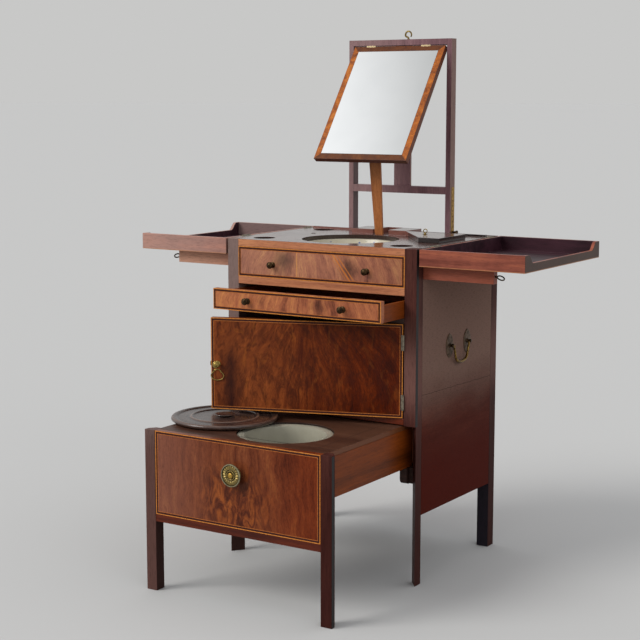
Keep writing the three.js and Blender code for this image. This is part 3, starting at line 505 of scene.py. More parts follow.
def tray_wood():
    """Red-brown outside, paler toward the left as painted glare, nearly black inside as painted shade, a
    paler rear inner wall in the left tray as painted light, and a pale line along the bottom edge.
    """
    graph = Graph("tray_wood")
    grained = graph.mapping(graph.place, (0.06, 1, 1))
    fine = graph.noise(grained, 60, 5.0, 0.6, 0.5)
    broad = graph.noise(graph.place, 12, 3.0, 0.5)
    mixed = fine * 0.6 + broad * 0.4
    outside = graph.ramp(mixed, [(0.36, "#5f2a1f"), (0.5, "#8a4a3a"), (0.64, "#ab6046")])
    # Painted shade: nearly black tones for the inside
    inside = graph.ramp(mixed, [(0.32, "#1c0a12"), (0.68, "#4a2a34")])
    low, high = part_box("right_tray")
    x, y, z = graph.axes(graph.place)
    reach = abs(x)
    mask = (reach > low.x + TRAY_WALL) * (reach < high.x - TRAY_WALL)
    mask = mask * (y > low.y + TRAY_WALL) * (y < high.y - TRAY_WALL) * (z > low.z + 3 * MM)
    # Painted glare toward the left
    outside = graph.mix(graph.span(x, -0.6, 0.2, 0.62, 0.0), outside, "#c2a297")
    end = reach > high.x - 0.6 * MM
    outside = graph.mix(end * 0.95, outside, "#443229")
    foot = z < low.z + 2.2 * MM
    outside = graph.mix(foot * 0.55, outside, "#c78a5c")
    colour = graph.mix(mask, outside, inside)
    # Painted light on the left tray's rear inner wall, which faces the key light
    rear = (y > high.y - TRAY_WALL - 0.8 * MM) * (x < 0.0) * (y < high.y - TRAY_WALL)
    colour = graph.mix(rear * 0.8, colour, "#8a706c")
    return polish(graph, colour, grained, 0.4, 0.04, 0.2)


def lid_wood():
    """Dark turned lid whose rings show as faint bands: painted highlights on the ring tops and painted
    shade in the grooves.
    """
    graph = Graph("lid_wood")
    low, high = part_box("pot_lid")
    middle = (low + high) / 2
    x, y, _ = graph.axes(graph.place)
    radius = graph.reach(x - middle.x, y - middle.y)
    grained = graph.mapping(graph.place, (0.08, 1, 1))
    grain = graph.noise(grained, 45, 5.0, 0.6, 0.6)
    rings = graph.noise(graph.vector(radius, 0.0, 0.0), 260, 2.0, 0.5)
    mixed = grain * 0.65 + rings * 0.35
    stops = [(0.33, "#201514"), (0.5, "#3b2a25"), (0.7, "#5a463d")]
    colour = graph.ramp(mixed, stops)
    # Painted highlights on the tops of the rim, the middle ring and the knob
    for at, wide, most in ((0.084, 0.0035, 0.6), (0.0265, 0.0015, 0.5), (0.1305, 0.0035, 0.35)):
        away = abs(radius - at)
        colour = graph.mix(graph.span(away, 0.0, wide, most, 0.0), colour, "#8c7062")
    # Painted shade in the grooves
    for at, wide in ((0.0775, 0.003), (0.0925, 0.004), (0.116, 0.003)):
        away = abs(radius - at)
        colour = graph.mix(graph.span(away, 0.0, wide, 0.6, 0.0), colour, "#1a1110")
    return polish(graph, colour, grained, 0.28, 0.15, 0.5)


def burr(name, turn=None):
    """Cross-banded border of the looking glass: bright up the sides and darker above and below as a painted
    sheen of the cross grain, dark red-brown along the outer edge, and painted shade on the faces behind the
    front.
    """
    graph = Graph(name)
    place = graph.turned(turn)
    x, y, z = graph.axes(place)
    to_side = GLASS_HALF_WIDTH - abs(x)
    to_end = graph.math("MINIMUM", z - (GLASS_AXIS.z - GLASS_LENGTH), GLASS_AXIS.z - z)
    stripe = graph.noise(place, 120, 4.0, 0.65, 1.4)
    clouds = graph.noise(place, 30, 3.0, 0.55, 0.8)
    mixed = stripe * 0.45 + clouds * 0.55
    stops = [(0.34, "#5c2a10"), (0.45, "#924c18"), (0.55, "#b0601c"), (0.68, "#cc7c28")]
    colour = graph.ramp(mixed, stops)
    # Painted sheen: the bars above and below darker than the sides
    lying = to_end < to_side
    colour = graph.mix(lying * 0.8, colour, "#44210f")
    edge = graph.math("MINIMUM", to_side, to_end) < 0.0006
    # Painted shade on the faces behind the front
    deep = y > GLASS_AXIS.y + 0.0015
    colour = graph.mix(graph.math("MAXIMUM", edge, deep) * 0.8, colour, "#57312a")
    return polish(graph, colour, place, 0.3)


def silvering():
    graph = Graph("looking_glass_silver")
    clouds = graph.noise(graph.place, 9, 2.0, 0.5)
    tone = graph.mix(graph.span(clouds, 0.3, 0.8, 0.0, 0.25), "#f3f5f6", "#dfe2e4")
    return graph.surface(tone, 0.02, Metallic=1.0)


looks = {
    "post": wood("post_wood", ("#311916", "#482824", "#5e3830"), "z", 0.42, 30,
                 shade=post_shade, coat=0.0, shine=0.05),
    "panel": wood("panel_wood", ("#3d1913", "#54281e", "#6c382a"), "y", 0.36, 20,
                  0.8, 0.09, side_shade, coat=0.0, shine=0.02),
    "frieze": figured("frieze_veneer", ("#5c322a", "#905845", "#ac6e52", "#c98e60"), FRIEZE_JOINT_X, 0.72,
                      3.2, 42, patches=((-0.105, 0.79, 0.05, 0.78), (0.088, 0.782, 0.04, 0.74)),
                      shade=frieze_shade),
    "drawer": figured("drawer_veneer", ("#62301f", "#98563a", "#b46d46", "#d18c50"), 0.03, 0.66, 4.0, 44,
                      patches=((-0.1, 0.7, 0.02, 0.35), (0.07, 0.7, 0.035, 0.5))),
    "door": figured("door_veneer", ("#2f0f07", "#592410", "#783817", "#9e5226"), DOOR_JOINT_X, 0.42, 2.0,
                    46, 0.3, DOOR_TURN, (), door_shade, 1.3, 0.0, 0.1),
    "commode": figured("commode_veneer", ("#40180d", "#65311c", "#7a4026", "#965b34"), -0.01, 0.19,
                       0.12, 70, 0.3, None, (), commode_shade, 1.25, 0.02, 0.12),
    "band": wood("band_wood", ("#854f3c", "#b77653", "#cf9065"), "x", 0.32, 40),
    "dark_band": wood("dark_band_wood", ("#381006", "#58200d", "#6c2a11"), "x", 0.34, 40),
    "plain": wood("plain_wood", ("#4b2004", "#78360a", "#934610"), "y", 0.5, 22, 0.9),
    "inner": wood("inner_wood", ("#1e1210", "#3a2620", "#4a3329"), "x", 0.6, 22),
    "seat": wood("seat_wood", ("#2e1a14", "#4a2e22", "#5f4031"), "x", 0.4, 26, shade=seat_shade,
                 coat=0.04, shine=0.2),
    "top": wood("top_wood", ("#3f2824", "#5a3d36", "#6d4c42"), "x", 0.18, 22, 0.7,
                shade=top_shade, coat=0.35, shine=0.5),
    "tray": tray_wood(),
    # Loper: painted glare, paler toward the left
    "loper": wood("loper_wood", ("#783a2a", "#9c543f", "#b46956"), "x", 0.38, 34, 0.8,
                  shade=left_glare("#d8a68c", 0.85, -0.45, 0.0)),
    "frame": wood("frame_wood", ("#5f4046", "#7d5a60", "#9b7577"), "z", 0.4, 46, 0.8,
                  shade=frame_shade),
    "burr": burr("burr_wood", GLASS_TURN),
    "strut": wood("strut_wood", ("#7c4727", "#a36438", "#be7c4a"), "z", 0.4, 60, 0.9),
    "lid": lid_wood(),
    "boxwood": plain("boxwood_line", "#dc8c3e", 0.4, Specular_IOR_Level=0.15),
    # Pale line as a painted highlight on the rounded arris
    "arris": plain("arris_highlight", "#a2978f", 0.4),
    "inner_line": plain("inner_line", "#c47436", 0.4, Specular_IOR_Level=0.15),
    "dark_line": plain("dark_line", "#45231f", 0.4, Specular_IOR_Level=0.1),
    # Near-black: painted shade in gaps and behind holes, and the dark joints of the seat
    "shade_and_joint_black": plain("shadow_strip", "#0d0809", 0.6),
    "brass": brass("old_brass", "#86703a", "#2a1f10", 0.6),
    "dull_brass": brass("dull_brass", "#8a8170", "#3d342a", 0.6, 0.42, 0.6),
    "dark_brass": brass("dark_brass", "#46341f", "#0e0907", 0.85, 0.3),
    "bright_brass": brass("bright_brass", "#a08a4c", "#43351a", 0.45, 0.28),
    "rosette": rosette_brass(),
    "rack": brass("rack_brass", "#b08a42", "#5e421e", 0.45, 0.4, 0.7),
    "pale_brass": brass("pale_brass", "#d2bf96", "#8c7b58", 0.3, 0.4, 0.5),
    "bail": brass("bail_brass", "#846632", "#140c08", 0.9, 0.26),
    "plate": brass("plate_brass", "#5c4836", "#291b15", 0.8, 0.5, 0.5),
    "cream": glaze("cream_glaze", "#bcb49f", "#aca48a", 0.36, True),
    "pot": glaze("pot_glaze", "#a7a393", "#989584", 0.25),
    "mirror": silvering(),
}

EASED_ANGLE = 46.0
EASE = 0.7
FINE_EASE = 0.35
MERGE = 1e-6


@contextmanager
def edited(mesh):
    """The mesh open for changes, which are written back at the end."""
    work = bmesh.new()
    work.from_mesh(mesh)
    yield work
    work.to_mesh(mesh)
    work.free()


def bevelled(work, edges, width):
    bmesh.ops.bevel(work, geom=edges, offset=width * MM, segments=2, profile=0.5,
                    affect="EDGES", clamp_overlap=True)


def smooth_by_angle(mesh, degrees):
    """Smooth shading everywhere but at edges sharper than an angle."""
    limit = math.radians(degrees)
    with edited(mesh) as work:
        for face in work.faces:
            face.smooth = True
        for edge in work.edges:
            edge.smooth = len(edge.link_faces) == 2 and edge.calc_face_angle(0.0) < limit


def mesh_of(name, verts, faces):
    mesh = bpy.data.meshes.new(name)
    mesh.from_pydata([tuple(v) for v in verts], [], faces)
    with edited(mesh) as work:
        bmesh.ops.remove_doubles(work, verts=work.verts, dist=MERGE)
        bmesh.ops.recalc_face_normals(work, faces=work.faces)
    return mesh


def placed(name, mesh, body, look, replaced=()):
    """The mesh as a visible piece that rides on a body, perhaps in place of a node."""
    piece = bpy.data.objects.new(name, mesh)
    bpy.context.scene.collection.objects.link(piece)
    piece.data.materials.clear()
    piece.data.materials.append(looks[look])
    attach(piece, body)
    if replaced:
        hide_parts(*replaced)
    return piece


def rounded(name, verts, faces, angle, body, look, replaced=()):
    """A new piece with smooth shading up to an angle."""
    mesh = mesh_of(name, verts, faces)
    smooth_by_angle(mesh, angle)
    return placed(name, mesh, body, look, replaced)


def body_of(node):
    bodies = frame["record"]["behaviour"]["bodies"]
    return next(body for body, nodes in bodies.items() if node in nodes)


def measured(node):
    """Low corner, high corner and middle of a node."""
    low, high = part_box(node)
    return low, high, (low + high) / 2


def softened(node, look, width):
    """A node's own shape with its edges rounded a little, in place of the node."""
    mesh = frame["nodes"][node].data.copy()
    flat, crisp = math.radians(1), math.radians(38)
    with edited(mesh) as work:
        bmesh.ops.remove_doubles(work, verts=work.verts, dist=MERGE)
        bmesh.ops.dissolve_limit(work, angle_limit=flat, verts=work.verts, edges=work.edges)
        sharp = [e for e in work.edges if len(e.link_faces) == 2 and e.calc_face_angle(0.0) > crisp]
        bevelled(work, sharp, width)
    smooth_by_angle(mesh, EASED_ANGLE)
    piece = placed(f"{node}_shape", mesh, body_of(node), look, (node,))
    weighted = piece.modifiers.new("weighted", "WEIGHTED_NORMAL")
    weighted.keep_sharp = True
    weighted.weight = 100


def dressed(node, look):
    """A node that stays and only takes a better material."""
    shown = frame["nodes"][node]
    shown.data.materials.clear()
    shown.data.materials.append(looks[look])


def spun(points, turn):
    """Points turned about a place by an angle, or as they are."""
    if not turn:
        return points
    about, axis, angle = turn
    matrix = Matrix.Rotation(angle, 3, axis)
    return [matrix @ (point - about) + about for point in points]


def slab(name, low, high, body, look, round_by=0.0, turn=None):
    """A box between two corners, its edges rounded, perhaps turned with the door or the glass."""
    xs, ys, zs = zip(low, high)
    verts = spun([Vector((x, y, z)) for x in xs for y in ys for z in zs], turn)
    faces = [(0, 1, 3, 2), (4, 6, 7, 5), (0, 4, 5, 1), (2, 3, 7, 6), (0, 2, 6, 4), (1, 5, 7, 3)]
    mesh = mesh_of(name, verts, faces)
    if round_by:
        with edited(mesh) as work:
            bevelled(work, work.edges[:], round_by)
        smooth_by_angle(mesh, EASED_ANGLE)
    placed(name, mesh, body, look)


def inlay(name, body, look, x0, x1, z0, z1, y, inset, width, turn=None):
    """A flush line of inlay round a front, a hair proud of it."""
    rings = []
    for edge in (inset * MM, (inset + width) * MM):
        left, right, bottom, top = x0 + edge, x1 - edge, z0 + edge, z1 - edge
        rings.append([(left, bottom), (right, bottom), (right, top), (left, top)])
    verts = [Vector((x, depth, z)) for depth in (y - LINE_PROUD, y + LET_IN) for ring in rings
             for x, z in ring]
    faces = []
    for i in range(4):
        j = (i + 1) % 4
        faces += [(i, j, 4 + j, 4 + i), (8 + j, 8 + i, 12 + i, 12 + j),
                  (j, i, 8 + i, 8 + j), (4 + i, 4 + j, 12 + j, 12 + i)]
    placed(name, mesh_of(name, spun(verts, turn), faces), body, look)


def circle(steps):
    """Sines and cosines of a full turn."""
    turns = [2 * math.pi * i / steps for i in range(steps)]
    return [(math.sin(turn), math.cos(turn)) for turn in turns]


def lathe(profile, steps):
    """Vertices and faces of a profile of (radius, height) turned round Z."""
    verts, faces, rings = [], [], []
    for radius, height in profile:
        if radius < MERGE:
            rings.append([len(verts)])
            verts.append(Vector((0, 0, height)))
            continue
        rings.append(list(range(len(verts), len(verts) + steps)))
        verts += [Vector((radius * cosine, radius * sine, height)) for sine, cosine in circle(steps)]
    for low, high in zip(rings, rings[1:]):
        for i in range(steps):
            j = (i + 1) % steps
            corners = [low[i % len(low)], low[j % len(low)], high[j % len(high)], high[i % len(high)]]
            corners = list(dict.fromkeys(corners))
            if len(corners) > 2:
                faces.append(corners)
    return verts, faces


def smoothed(points, rounds=1):
    """A profile with its inner corners cut round, ends kept."""
    for _ in range(rounds):
        eased = [points[0]]
        for first, second in zip(points, points[1:]):
            for share in (0.75, 0.25):
                eased.append(tuple(a * share + b * (1 - share) for a, b in zip(first, second)))
        eased.append(points[-1])
        points = eased
    return points


def turned(name, profile, matrix, body, look, replaced=(), steps=48, angle=40.0):
    """A lathe-turned piece set in place by a matrix. The profile is in millimetres."""
    verts, faces = lathe([(r * MM, h * MM) for r, h in profile], steps)
    rounded(name, [matrix @ v for v in verts], faces, angle, body, look, replaced)


def bar(name, points, radii, body, look, replaced=(), closed=False, sides=12):
    """A round bar along points, open with flat ends or closed to a ring."""
    count = len(points)
    verts, faces = [], []
    across = None
    for i, point in enumerate(points):
        if closed:
            ahead = points[(i + 1) % count] - points[i - 1]
        else:
            ahead = points[min(i + 1, count - 1)] - points[max(i - 1, 0)]
        ahead.normalize()
        if across is None:
            across = Vector((1, 0, 0)) if abs(ahead.x) < 0.9 else Vector((0, 0, 1))
        across = (across - ahead * across.dot(ahead)).normalized()
        up = ahead.cross(across)
        verts += [point + (across * cosine + up * sine) * radii[i] for sine, cosine in circle(sides)]
    for i in range(count if closed else count - 1):
        here, there = i * sides, (i + 1) % count * sides
        for k in range(sides):
            m = (k + 1) % sides
            faces.append((here + k, here + m, there + m, there + k))
    if not closed:
        faces.append(tuple(range(sides))[::-1])
        faces.append(tuple((count - 1) * sides + k for k in range(sides)))
    rounded(name, verts, faces, 50.0, body, look, replaced)


def spline(points, steps, closed=False):
    """Points on a smooth curve through the given ones."""
    count = len(points)
    made = []
    for i in range(count if closed else count - 1):
        near = [i + k for k in (-1, 0, 1, 2)]
        if closed:
            p = [points[k % count] for k in near]
        else:
            p = [points[max(0, min(count - 1, k))] for k in near]
        for k in range(steps):
            t = k / steps
            made.append(0.5 * ((2 * p[1]) + (p[2] - p[0]) * t
                               + (2 * p[0] - 5 * p[1] + 4 * p[2] - p[3]) * t * t
                               + (3 * p[1] - p[0] - 3 * p[2] + p[3]) * t ** 3))
    if not closed:
        made.append(points[-1].copy())
    return made


def sideways(x, y, z, side):
    """Carries a piece turned round Z to a side that faces left or right."""
    return Matrix.Translation((x, y, z)) @ Matrix.Rotation(QUARTER * side, 4, "Y")


def set_on_front(x, y, z, spin=0.0):
    """Carries a piece turned round Z to a front that faces -Y, perhaps turned with the door."""
    return (Matrix.Translation((x, y, z)) @ Matrix.Rotation(spin, 4, "Z")
            @ Matrix.Rotation(QUARTER, 4, "X"))


# The solids that keep their shape, with their edges eased
shapes = {
    "front_left_leg": "post", "front_right_leg": "post", "rear_left_leg": "post",
    "rear_right_leg": "post", "left_side": "panel", "right_side": "panel",
    "left_runner": "inner", "right_runner": "inner", "left_tray": "tray", "right_tray": "tray",
    "left_loper": "loper", "right_loper": "loper", "back_panel": "plain", "top_board": "top",
    "frieze": "frieze", "drawer_shelf": "inner", "cupboard_floor": "dark_band",
    "shaft_board": "inner", "left_till_lid": "top", "right_till_lid": "top",
    "drawer_front": "drawer", "drawer_box": "plain", "door": "door", "commode_front": "commode",
    "commode_leg_left": "post", "commode_leg_right": "post", "commode_carcase": "plain",
    "seat_board": "seat", "glass_frame": "burr", "strut": "strut",
    "rack": "rack",
}
for node, look in shapes.items():
    fine = node in ("rack", "top_board", "left_till_lid")
    softened(node, look, FINE_EASE if fine else EASE)
kept = {node: "dull_brass" for node in frame["nodes"] if "hinge" in node}
kept.update(looking_glass="mirror", door_bolt="dark_brass", rack_catch="dark_brass", mirror_frame="frame")
for node, look in kept.items():
    dressed(node, look)


def rack_hole_shade():
    """Painted shade: a dark sheet behind the rack, seen through its holes."""
    low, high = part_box("rack")
    edge = 2 * MM
    slab("rack_hole_shade", (low.x + 0.2 * MM, low.y + edge, low.z + edge),
         (high.x - 0.8 * MM, high.y - edge, high.z - edge), "rising_frame_body", "shade_and_joint_black")


def inlaid_front(label, body, x0, x1, z0, z1, y, turn=None, widths=(2.0, 4.7, 1.3)):
    """Outer boxwood line, dark band and thin inner line."""
    inset = 0.1
    looks_of_parts = {"line": "boxwood", "dark_line": "dark_line", "inner_line": "inner_line"}
    for (part, look), width in zip(looks_of_parts.items(), widths):
        inlay(f"{label}_{part}", body, look, x0, x1, z0, z1, y, inset, width, turn)
        inset += width


def fronts():
    """Bands and inlay of the frieze, the drawer, the lower front and the door."""
    band_top = 0.7434
    rail_top = 0.1944
    line_gap = 0.1 * MM
    low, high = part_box("frieze")
    inlaid_front("frieze", "case", low.x, high.x, band_top + line_gap, high.z - 0.3 * MM, low.y)
    slab("frieze_band", (low.x, low.y - PROUD, low.z), (high.x, low.y + MM, band_top), "case", "band")
    slab("top_edge_veneer", (low.x, low.y - PROUD, CASE_LOW.z + 24.3 * MM),
         (high.x, low.y + MM, TOP_Z - 0.5 * MM), "case", "band")
    low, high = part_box("drawer_front")
    inlaid_front("drawer", "drawer_body", low.x, high.x, low.z, high.z, low.y)
    low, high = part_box("commode_front")
    inlaid_front("commode", "night_stand_body", low.x + 0.8 * MM, high.x - 0.8 * MM,
                 rail_top + line_gap, high.z - 0.6 * MM, low.y, None, (2.0, 4.6, 1.2))
    slab("commode_rail", (low.x, low.y - PROUD, low.z), (high.x, low.y + MM, rail_top),
         "night_stand_body", "dark_band")
    low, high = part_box("door")
    inlaid_front("door", "door_body", 0.9 * MM - POST_INNER, DOOR_HINGE.x - 1.6 * MM, low.z, high.z,
                 FRONT_Y, DOOR_TURN)


def knob_profile(radius, reach):
    """A small knob: round backplate with a bead, waisted neck and domed face with a ring."""
    shares = [(0, 0), (0.86, 0), (0.9, 0.04), (0.82, 0.09), (0.7, 0.1), (0.62, 0.14), (0.42, 0.17),
              (0.34, 0.3), (0.33, 0.44), (0.44, 0.53), (0.72, 0.58), (0.93, 0.65), (1.0, 0.74),
              (0.95, 0.83), (0.82, 0.89), (0.66, 0.905), (0.58, 0.9), (0.5, 0.94), (0.3, 0.985), (0, 1)]
    return smoothed([(r * radius, h * reach) for r, h in shares])


def front_knobs():
    """Turned knobs of the frieze and the drawer, and the knob of the door."""
    for node in ("frieze_knob_left", "frieze_knob_right", "drawer_knob_left", "drawer_knob_right"):
        low, high, middle = measured(node)
        profile = knob_profile((high.x - low.x) / 2 / MM, (high.y - low.y) / MM)
        turned(f"{node}_shape", profile, set_on_front(middle.x, high.y, middle.z), body_of(node),
               "dark_brass", (node,), 40)
    base, = spun([Vector((DOOR_KNOB_X, FRONT_Y - 0.3 * MM, DOOR_KNOB_Z))], DOOR_TURN)
    radius, reach = 9.0, 17.9
    turned("door_knob_shape", knob_profile(radius, reach), set_on_front(*base, DOOR_TURN[2]),
           "door_knob_body", "bright_brass", ("door_knob",), 40)


def rosette():
    """Round knob with a beaded rim, a ring of petals, a second ring and a boss."""
    low, high, middle = measured("commode_knob")
    reach = high.y - low.y
    radius = (high.x - low.x) / 2
    petals, beads = 20, 16
    shares = [(0, 0), (0.62, 0), (0.6, 0.12), (0.34, 0.3), (0.34, 0.5), (0.7, 0.62), (0.95, 0.7),
              (1.0, 0.77), (0.985, 0.85), (0.94, 0.9), (0.9, 0.9), (0.865, 0.84), (0.84, 0.8),
              (0.78, 0.83), (0.68, 0.85), (0.58, 0.85), (0.5, 0.82), (0.47, 0.79), (0.44, 0.82),
              (0.4, 0.87), (0.36, 0.87), (0.32, 0.82), (0.29, 0.81), (0.25, 0.88), (0.2, 0.94),
              (0.14, 0.97), (0.1, 0.955), (0.06, 0.97), (0, 1.0)]
    verts, faces = lathe([(r * radius, h * reach) for r, h in shares], 160)
    for v in verts:
        share = math.hypot(v.x, v.y) / radius
        turn = math.atan2(v.y, v.x)
        if v.z > 0.78 * reach and 0.49 < share < 0.82:
            fade = math.sin(math.pi * (share - 0.49) / 0.33)
            v.z += (abs(math.cos(turn * petals / 2)) - 0.75) * 1.5 * MM * fade
        elif v.z > 0.8 * reach and 0.33 < share < 0.42:
            v.z += math.cos(turn * beads) * 0.35 * MM
    matrix = set_on_front(middle.x, high.y, middle.z)
    rounded("commode_knob_shape", [matrix @ v for v in verts], faces, 40.0, "night_stand_body",
            "rosette", ("commode_knob",))


def door_ring():
    """Ogee drop ring that hangs from the knob's neck."""
    half = [(0.0, 0.0), (5.0, -1.2), (8.0, -3.5), (9.5, -6.5), (13.0, -9.0), (16.2, -13.5),
            (16.4, -18.5), (13.0, -23.5), (7.0, -26.5), (0.0, -27.5)]
    outline = half + [(-x, z) for x, z in half[-2:0:-1]]
    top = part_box("door_ring")[1].z - 1.7 * MM
    y = FRONT_Y - 2.3 * MM
    points = [Vector((DOOR_KNOB_X + x * MM, y, top + z * MM)) for x, z in outline]
    points = spline(spun(points, DOOR_TURN), 5, True)
    bar("door_ring_shape", points, [1.2 * MM] * len(points), "door_ring_body", "bright_brass",
        ("door_ring",), True, 10)


def handle_plate(node, side):
    """Pointed oval plate with a round eye."""
    low, high, middle = measured(node)
    half_y, half_z = (high.y - low.y) / 2, (high.z - low.z) / 2
    inner = low.x if side > 0 else high.x
    steps = 48
    outline = []
    for across, up in circle(steps):
        pinch = 1 - 0.42 * max(0.0, up) ** 3 - 0.3 * max(0.0, -up) ** 4
        outline.append((across * pinch * half_y * 0.86, math.copysign(abs(up) ** 0.9, up) * half_z))
    verts, faces = [], []
    for inset, out in ((0, 0), (0, 1.0), (0.9, 1.7), (2.4, 1.9)):
        for y, z in outline:
            length = math.hypot(y, z)
            keep = max(0.0, (length - inset * MM) / length)
            verts.append(Vector((inner + side * out * MM, middle.y + y * keep, middle.z + z * keep)))
    for ring in range(0, 3 * steps, steps):
        for i in range(steps):
            j = (i + 1) % steps
            faces.append((ring + i, ring + j, ring + steps + j, ring + steps + i))
    faces.append(tuple(range(steps)))
    faces.append(tuple(range(3 * steps, 4 * steps)))
    rounded(f"{node}_shape", verts, faces, 50.0, "case", "plate", (node,))
    boss = [(0, 0.5), (6.4, 0.5), (6.4, 2.2), (5.2, 3.2), (4.0, 4.4), (3.8, 6.4), (4.6, 7.6),
            (5.0, 9.6), (4.7, 11.8), (3.4, 13.2), (0, 13.7)]
    turned(f"{node}_eye", smoothed(boss), sideways(inner, middle.y, HANDLE_Z, side), "case",
           "dark_brass", (), 28)


def side_handles():
    """Plates, and a swan-necked bail with a swollen grip, on both sides."""
    for prefix, side in SIDES:
        for place in ENDS:
            handle_plate(f"{prefix}_handle_plate_{place}", side)
        low, high, middle = measured(f"{prefix}_bail")
        half = (high.y - low.y) / 2 - 3.0 * MM
        drop = high.z - low.z - 3.2 * MM
        shares = [(-1.0, 0.0), (-1.02, -0.16), (-0.92, -0.36), (-0.86, -0.55), (-0.74, -0.78),
                  (-0.5, -0.93), (-0.25, -0.985), (0.0, -1.0)]
        shares = shares + [(-a, b) for a, b in shares[-2::-1]]
        points = spline([Vector((middle.x, middle.y + a * half, high.z + b * drop)) for a, b in shares], 4)
        count = len(points) - 1
        radii = [(2.7 + 1.2 * math.sin(math.pi * i / count) ** 2) * MM for i in range(count + 1)]
        bar(f"{prefix}_bail_shape", points, radii, f"{prefix}_bail_body", "bail", (f"{prefix}_bail",))


def crock(node, body, look, angle, profile):
    """A turned vessel or lid that stands on the low face of its node."""
    low, _, middle = measured(node)
    matrix = Matrix.Translation((middle.x, middle.y, low.z))
    turned(f"{node}_shape", profile, matrix, body, look, (node,), 96, angle)


def crockery():
    """Basin, pot and wooden lid."""
    low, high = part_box("basin")
    radius = (high.x - low.x) / 2 / MM
    depth = (high.z - low.z) / MM
    outside = [(0, 0), (48, 0), (48, 4), (62, 12), (79, 26), (92, depth - 42), (108, depth - 14),
               (114, depth - 7), (116, depth - 3.3)]
    rim = [(radius, depth - 3.2), (radius, depth - 1.4), (radius - 1.2, depth - 0.2),
           (radius - 6, depth), (radius - 11, depth - 1.0)]
    inside = [(111, depth - 8), (104, depth - 20), (88, depth - 42), (73, 32), (56, 18), (40, 11),
              (20, 9), (0, 8.6)]
    crock("basin", "case", "cream", 50.0, smoothed(outside) + rim + smoothed(inside, 2))
    low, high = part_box("pot")
    radius = (high.x - low.x) / 2 / MM
    depth = (high.z - low.z) / MM
    outside = [(0, 0), (72, 0), (74, 3), (80, 9), (95, 40), (104, 75), (103.6, 112),
               (103.2, depth - 14), (103, depth - 4.2)]
    rim = [(radius, depth - 4.0), (radius, depth - 3.2), (radius - 1.4, depth - 2.2),
           (radius - 6.5, depth - 2.0), (radius - 12, depth - 2.6)]
    inside = [(99.5, depth - 4), (98.6, depth - 14), (99, 112), (99.4, 75), (91, 42), (76, 16),
              (60, 10.5), (0, 10.2)]
    crock("pot", "night_stand_body", "pot", 50.0, smoothed(outside) + rim + smoothed(inside, 2))
    lid = [(0, 0), (120, 0), (127, 1.6), (132, 4.2), (134, 7.2), (133.6, 10), (131.6, 12.4),
           (128, 13.5), (123, 13.1), (119, 11.6), (116.4, 10.2), (114, 10.4), (110, 10.9), (92, 10.9),
           (88.6, 11.0), (86.6, 12.2), (83.6, 13.5), (80.6, 12.8), (78.4, 11.0), (75, 10.3), (40, 10.4),
           (15, 10.5), (12.6, 11.2), (12, 13.0), (15, 14.2), (22, 14.5), (25.4, 15.0), (26, 16.2),
           (24.4, 17.4), (14, 17.9), (0, 18)]
    crock("pot_lid", "pot_lid_body", "lid", 40.0, smoothed(lid))


def top_hook():
    """Open brass hook on the top rail of the rising frame."""
    low, high, middle = measured("top_loop")
    ring = 9.0 * MM
    centre = Vector((middle.x, middle.y, high.z - ring - 1.9 * MM))
    stem = [(0.0, 0.0), (0.0, 3.5), (-3.0, 6.0)]
    points = [Vector((middle.x + x * MM, middle.y, low.z + z * MM)) for x, z in stem]
    for i in range(12):
        turn = math.radians(205 - i * 22)
        points.append(centre + Vector((ring * math.cos(turn), 0, ring * math.sin(turn))))
    points = spline(points, 3)
    count = len(points) - 1
    radii = [(2.3 - 0.6 * (i / count) ** 3) * MM for i in range(count + 1)]
    bar("top_loop_shape", points, radii, "rising_frame_body", "brass", ("top_loop",))
    collar = [(0, 0), (3.4, 0), (3.6, 0.8), (3.0, 1.8), (2.0, 2.6), (0, 2.6)]
    turned("top_loop_collar", collar, Matrix.Translation((middle.x, middle.y, low.z)),
           "rising_frame_body", "brass", (), 24)


def loper_pulls():
    """Small drop loops on screwed eyes at the ends of the lopers."""
    long, tall, droop = 9.5 * MM, 4.6 * MM, math.radians(14)
    stem = [(0, 0), (3.2, 0), (3.2, 0.7), (1.6, 1.3), (1.3, 3.2), (1.8, 4.4), (1.5, 5.3), (0, 5.5)]
    for prefix, side in SIDES:
        node = f"{prefix}_loper_pull"
        low, high, middle = measured(node)
        root = low.x if side > 0 else high.x
        centre = Vector((root + side * (4.0 * MM + long), middle.y, middle.z - 2.0 * MM))
        points = []
        for sine, cosine in circle(24):
            along, up = long * cosine, tall * sine
            points.append(centre + Vector((side * (along * math.cos(droop) + up * math.sin(droop)), 0,
                                           up * math.cos(droop) - along * math.sin(droop))))
        bar(f"{node}_shape", points, [1.7 * MM] * 24, body_of(node), "dark_brass", (node,), True, 10)
        turned(f"{node}_stem", stem, sideways(root, middle.y, middle.z, side), body_of(node),
               "dark_brass", (), 20)


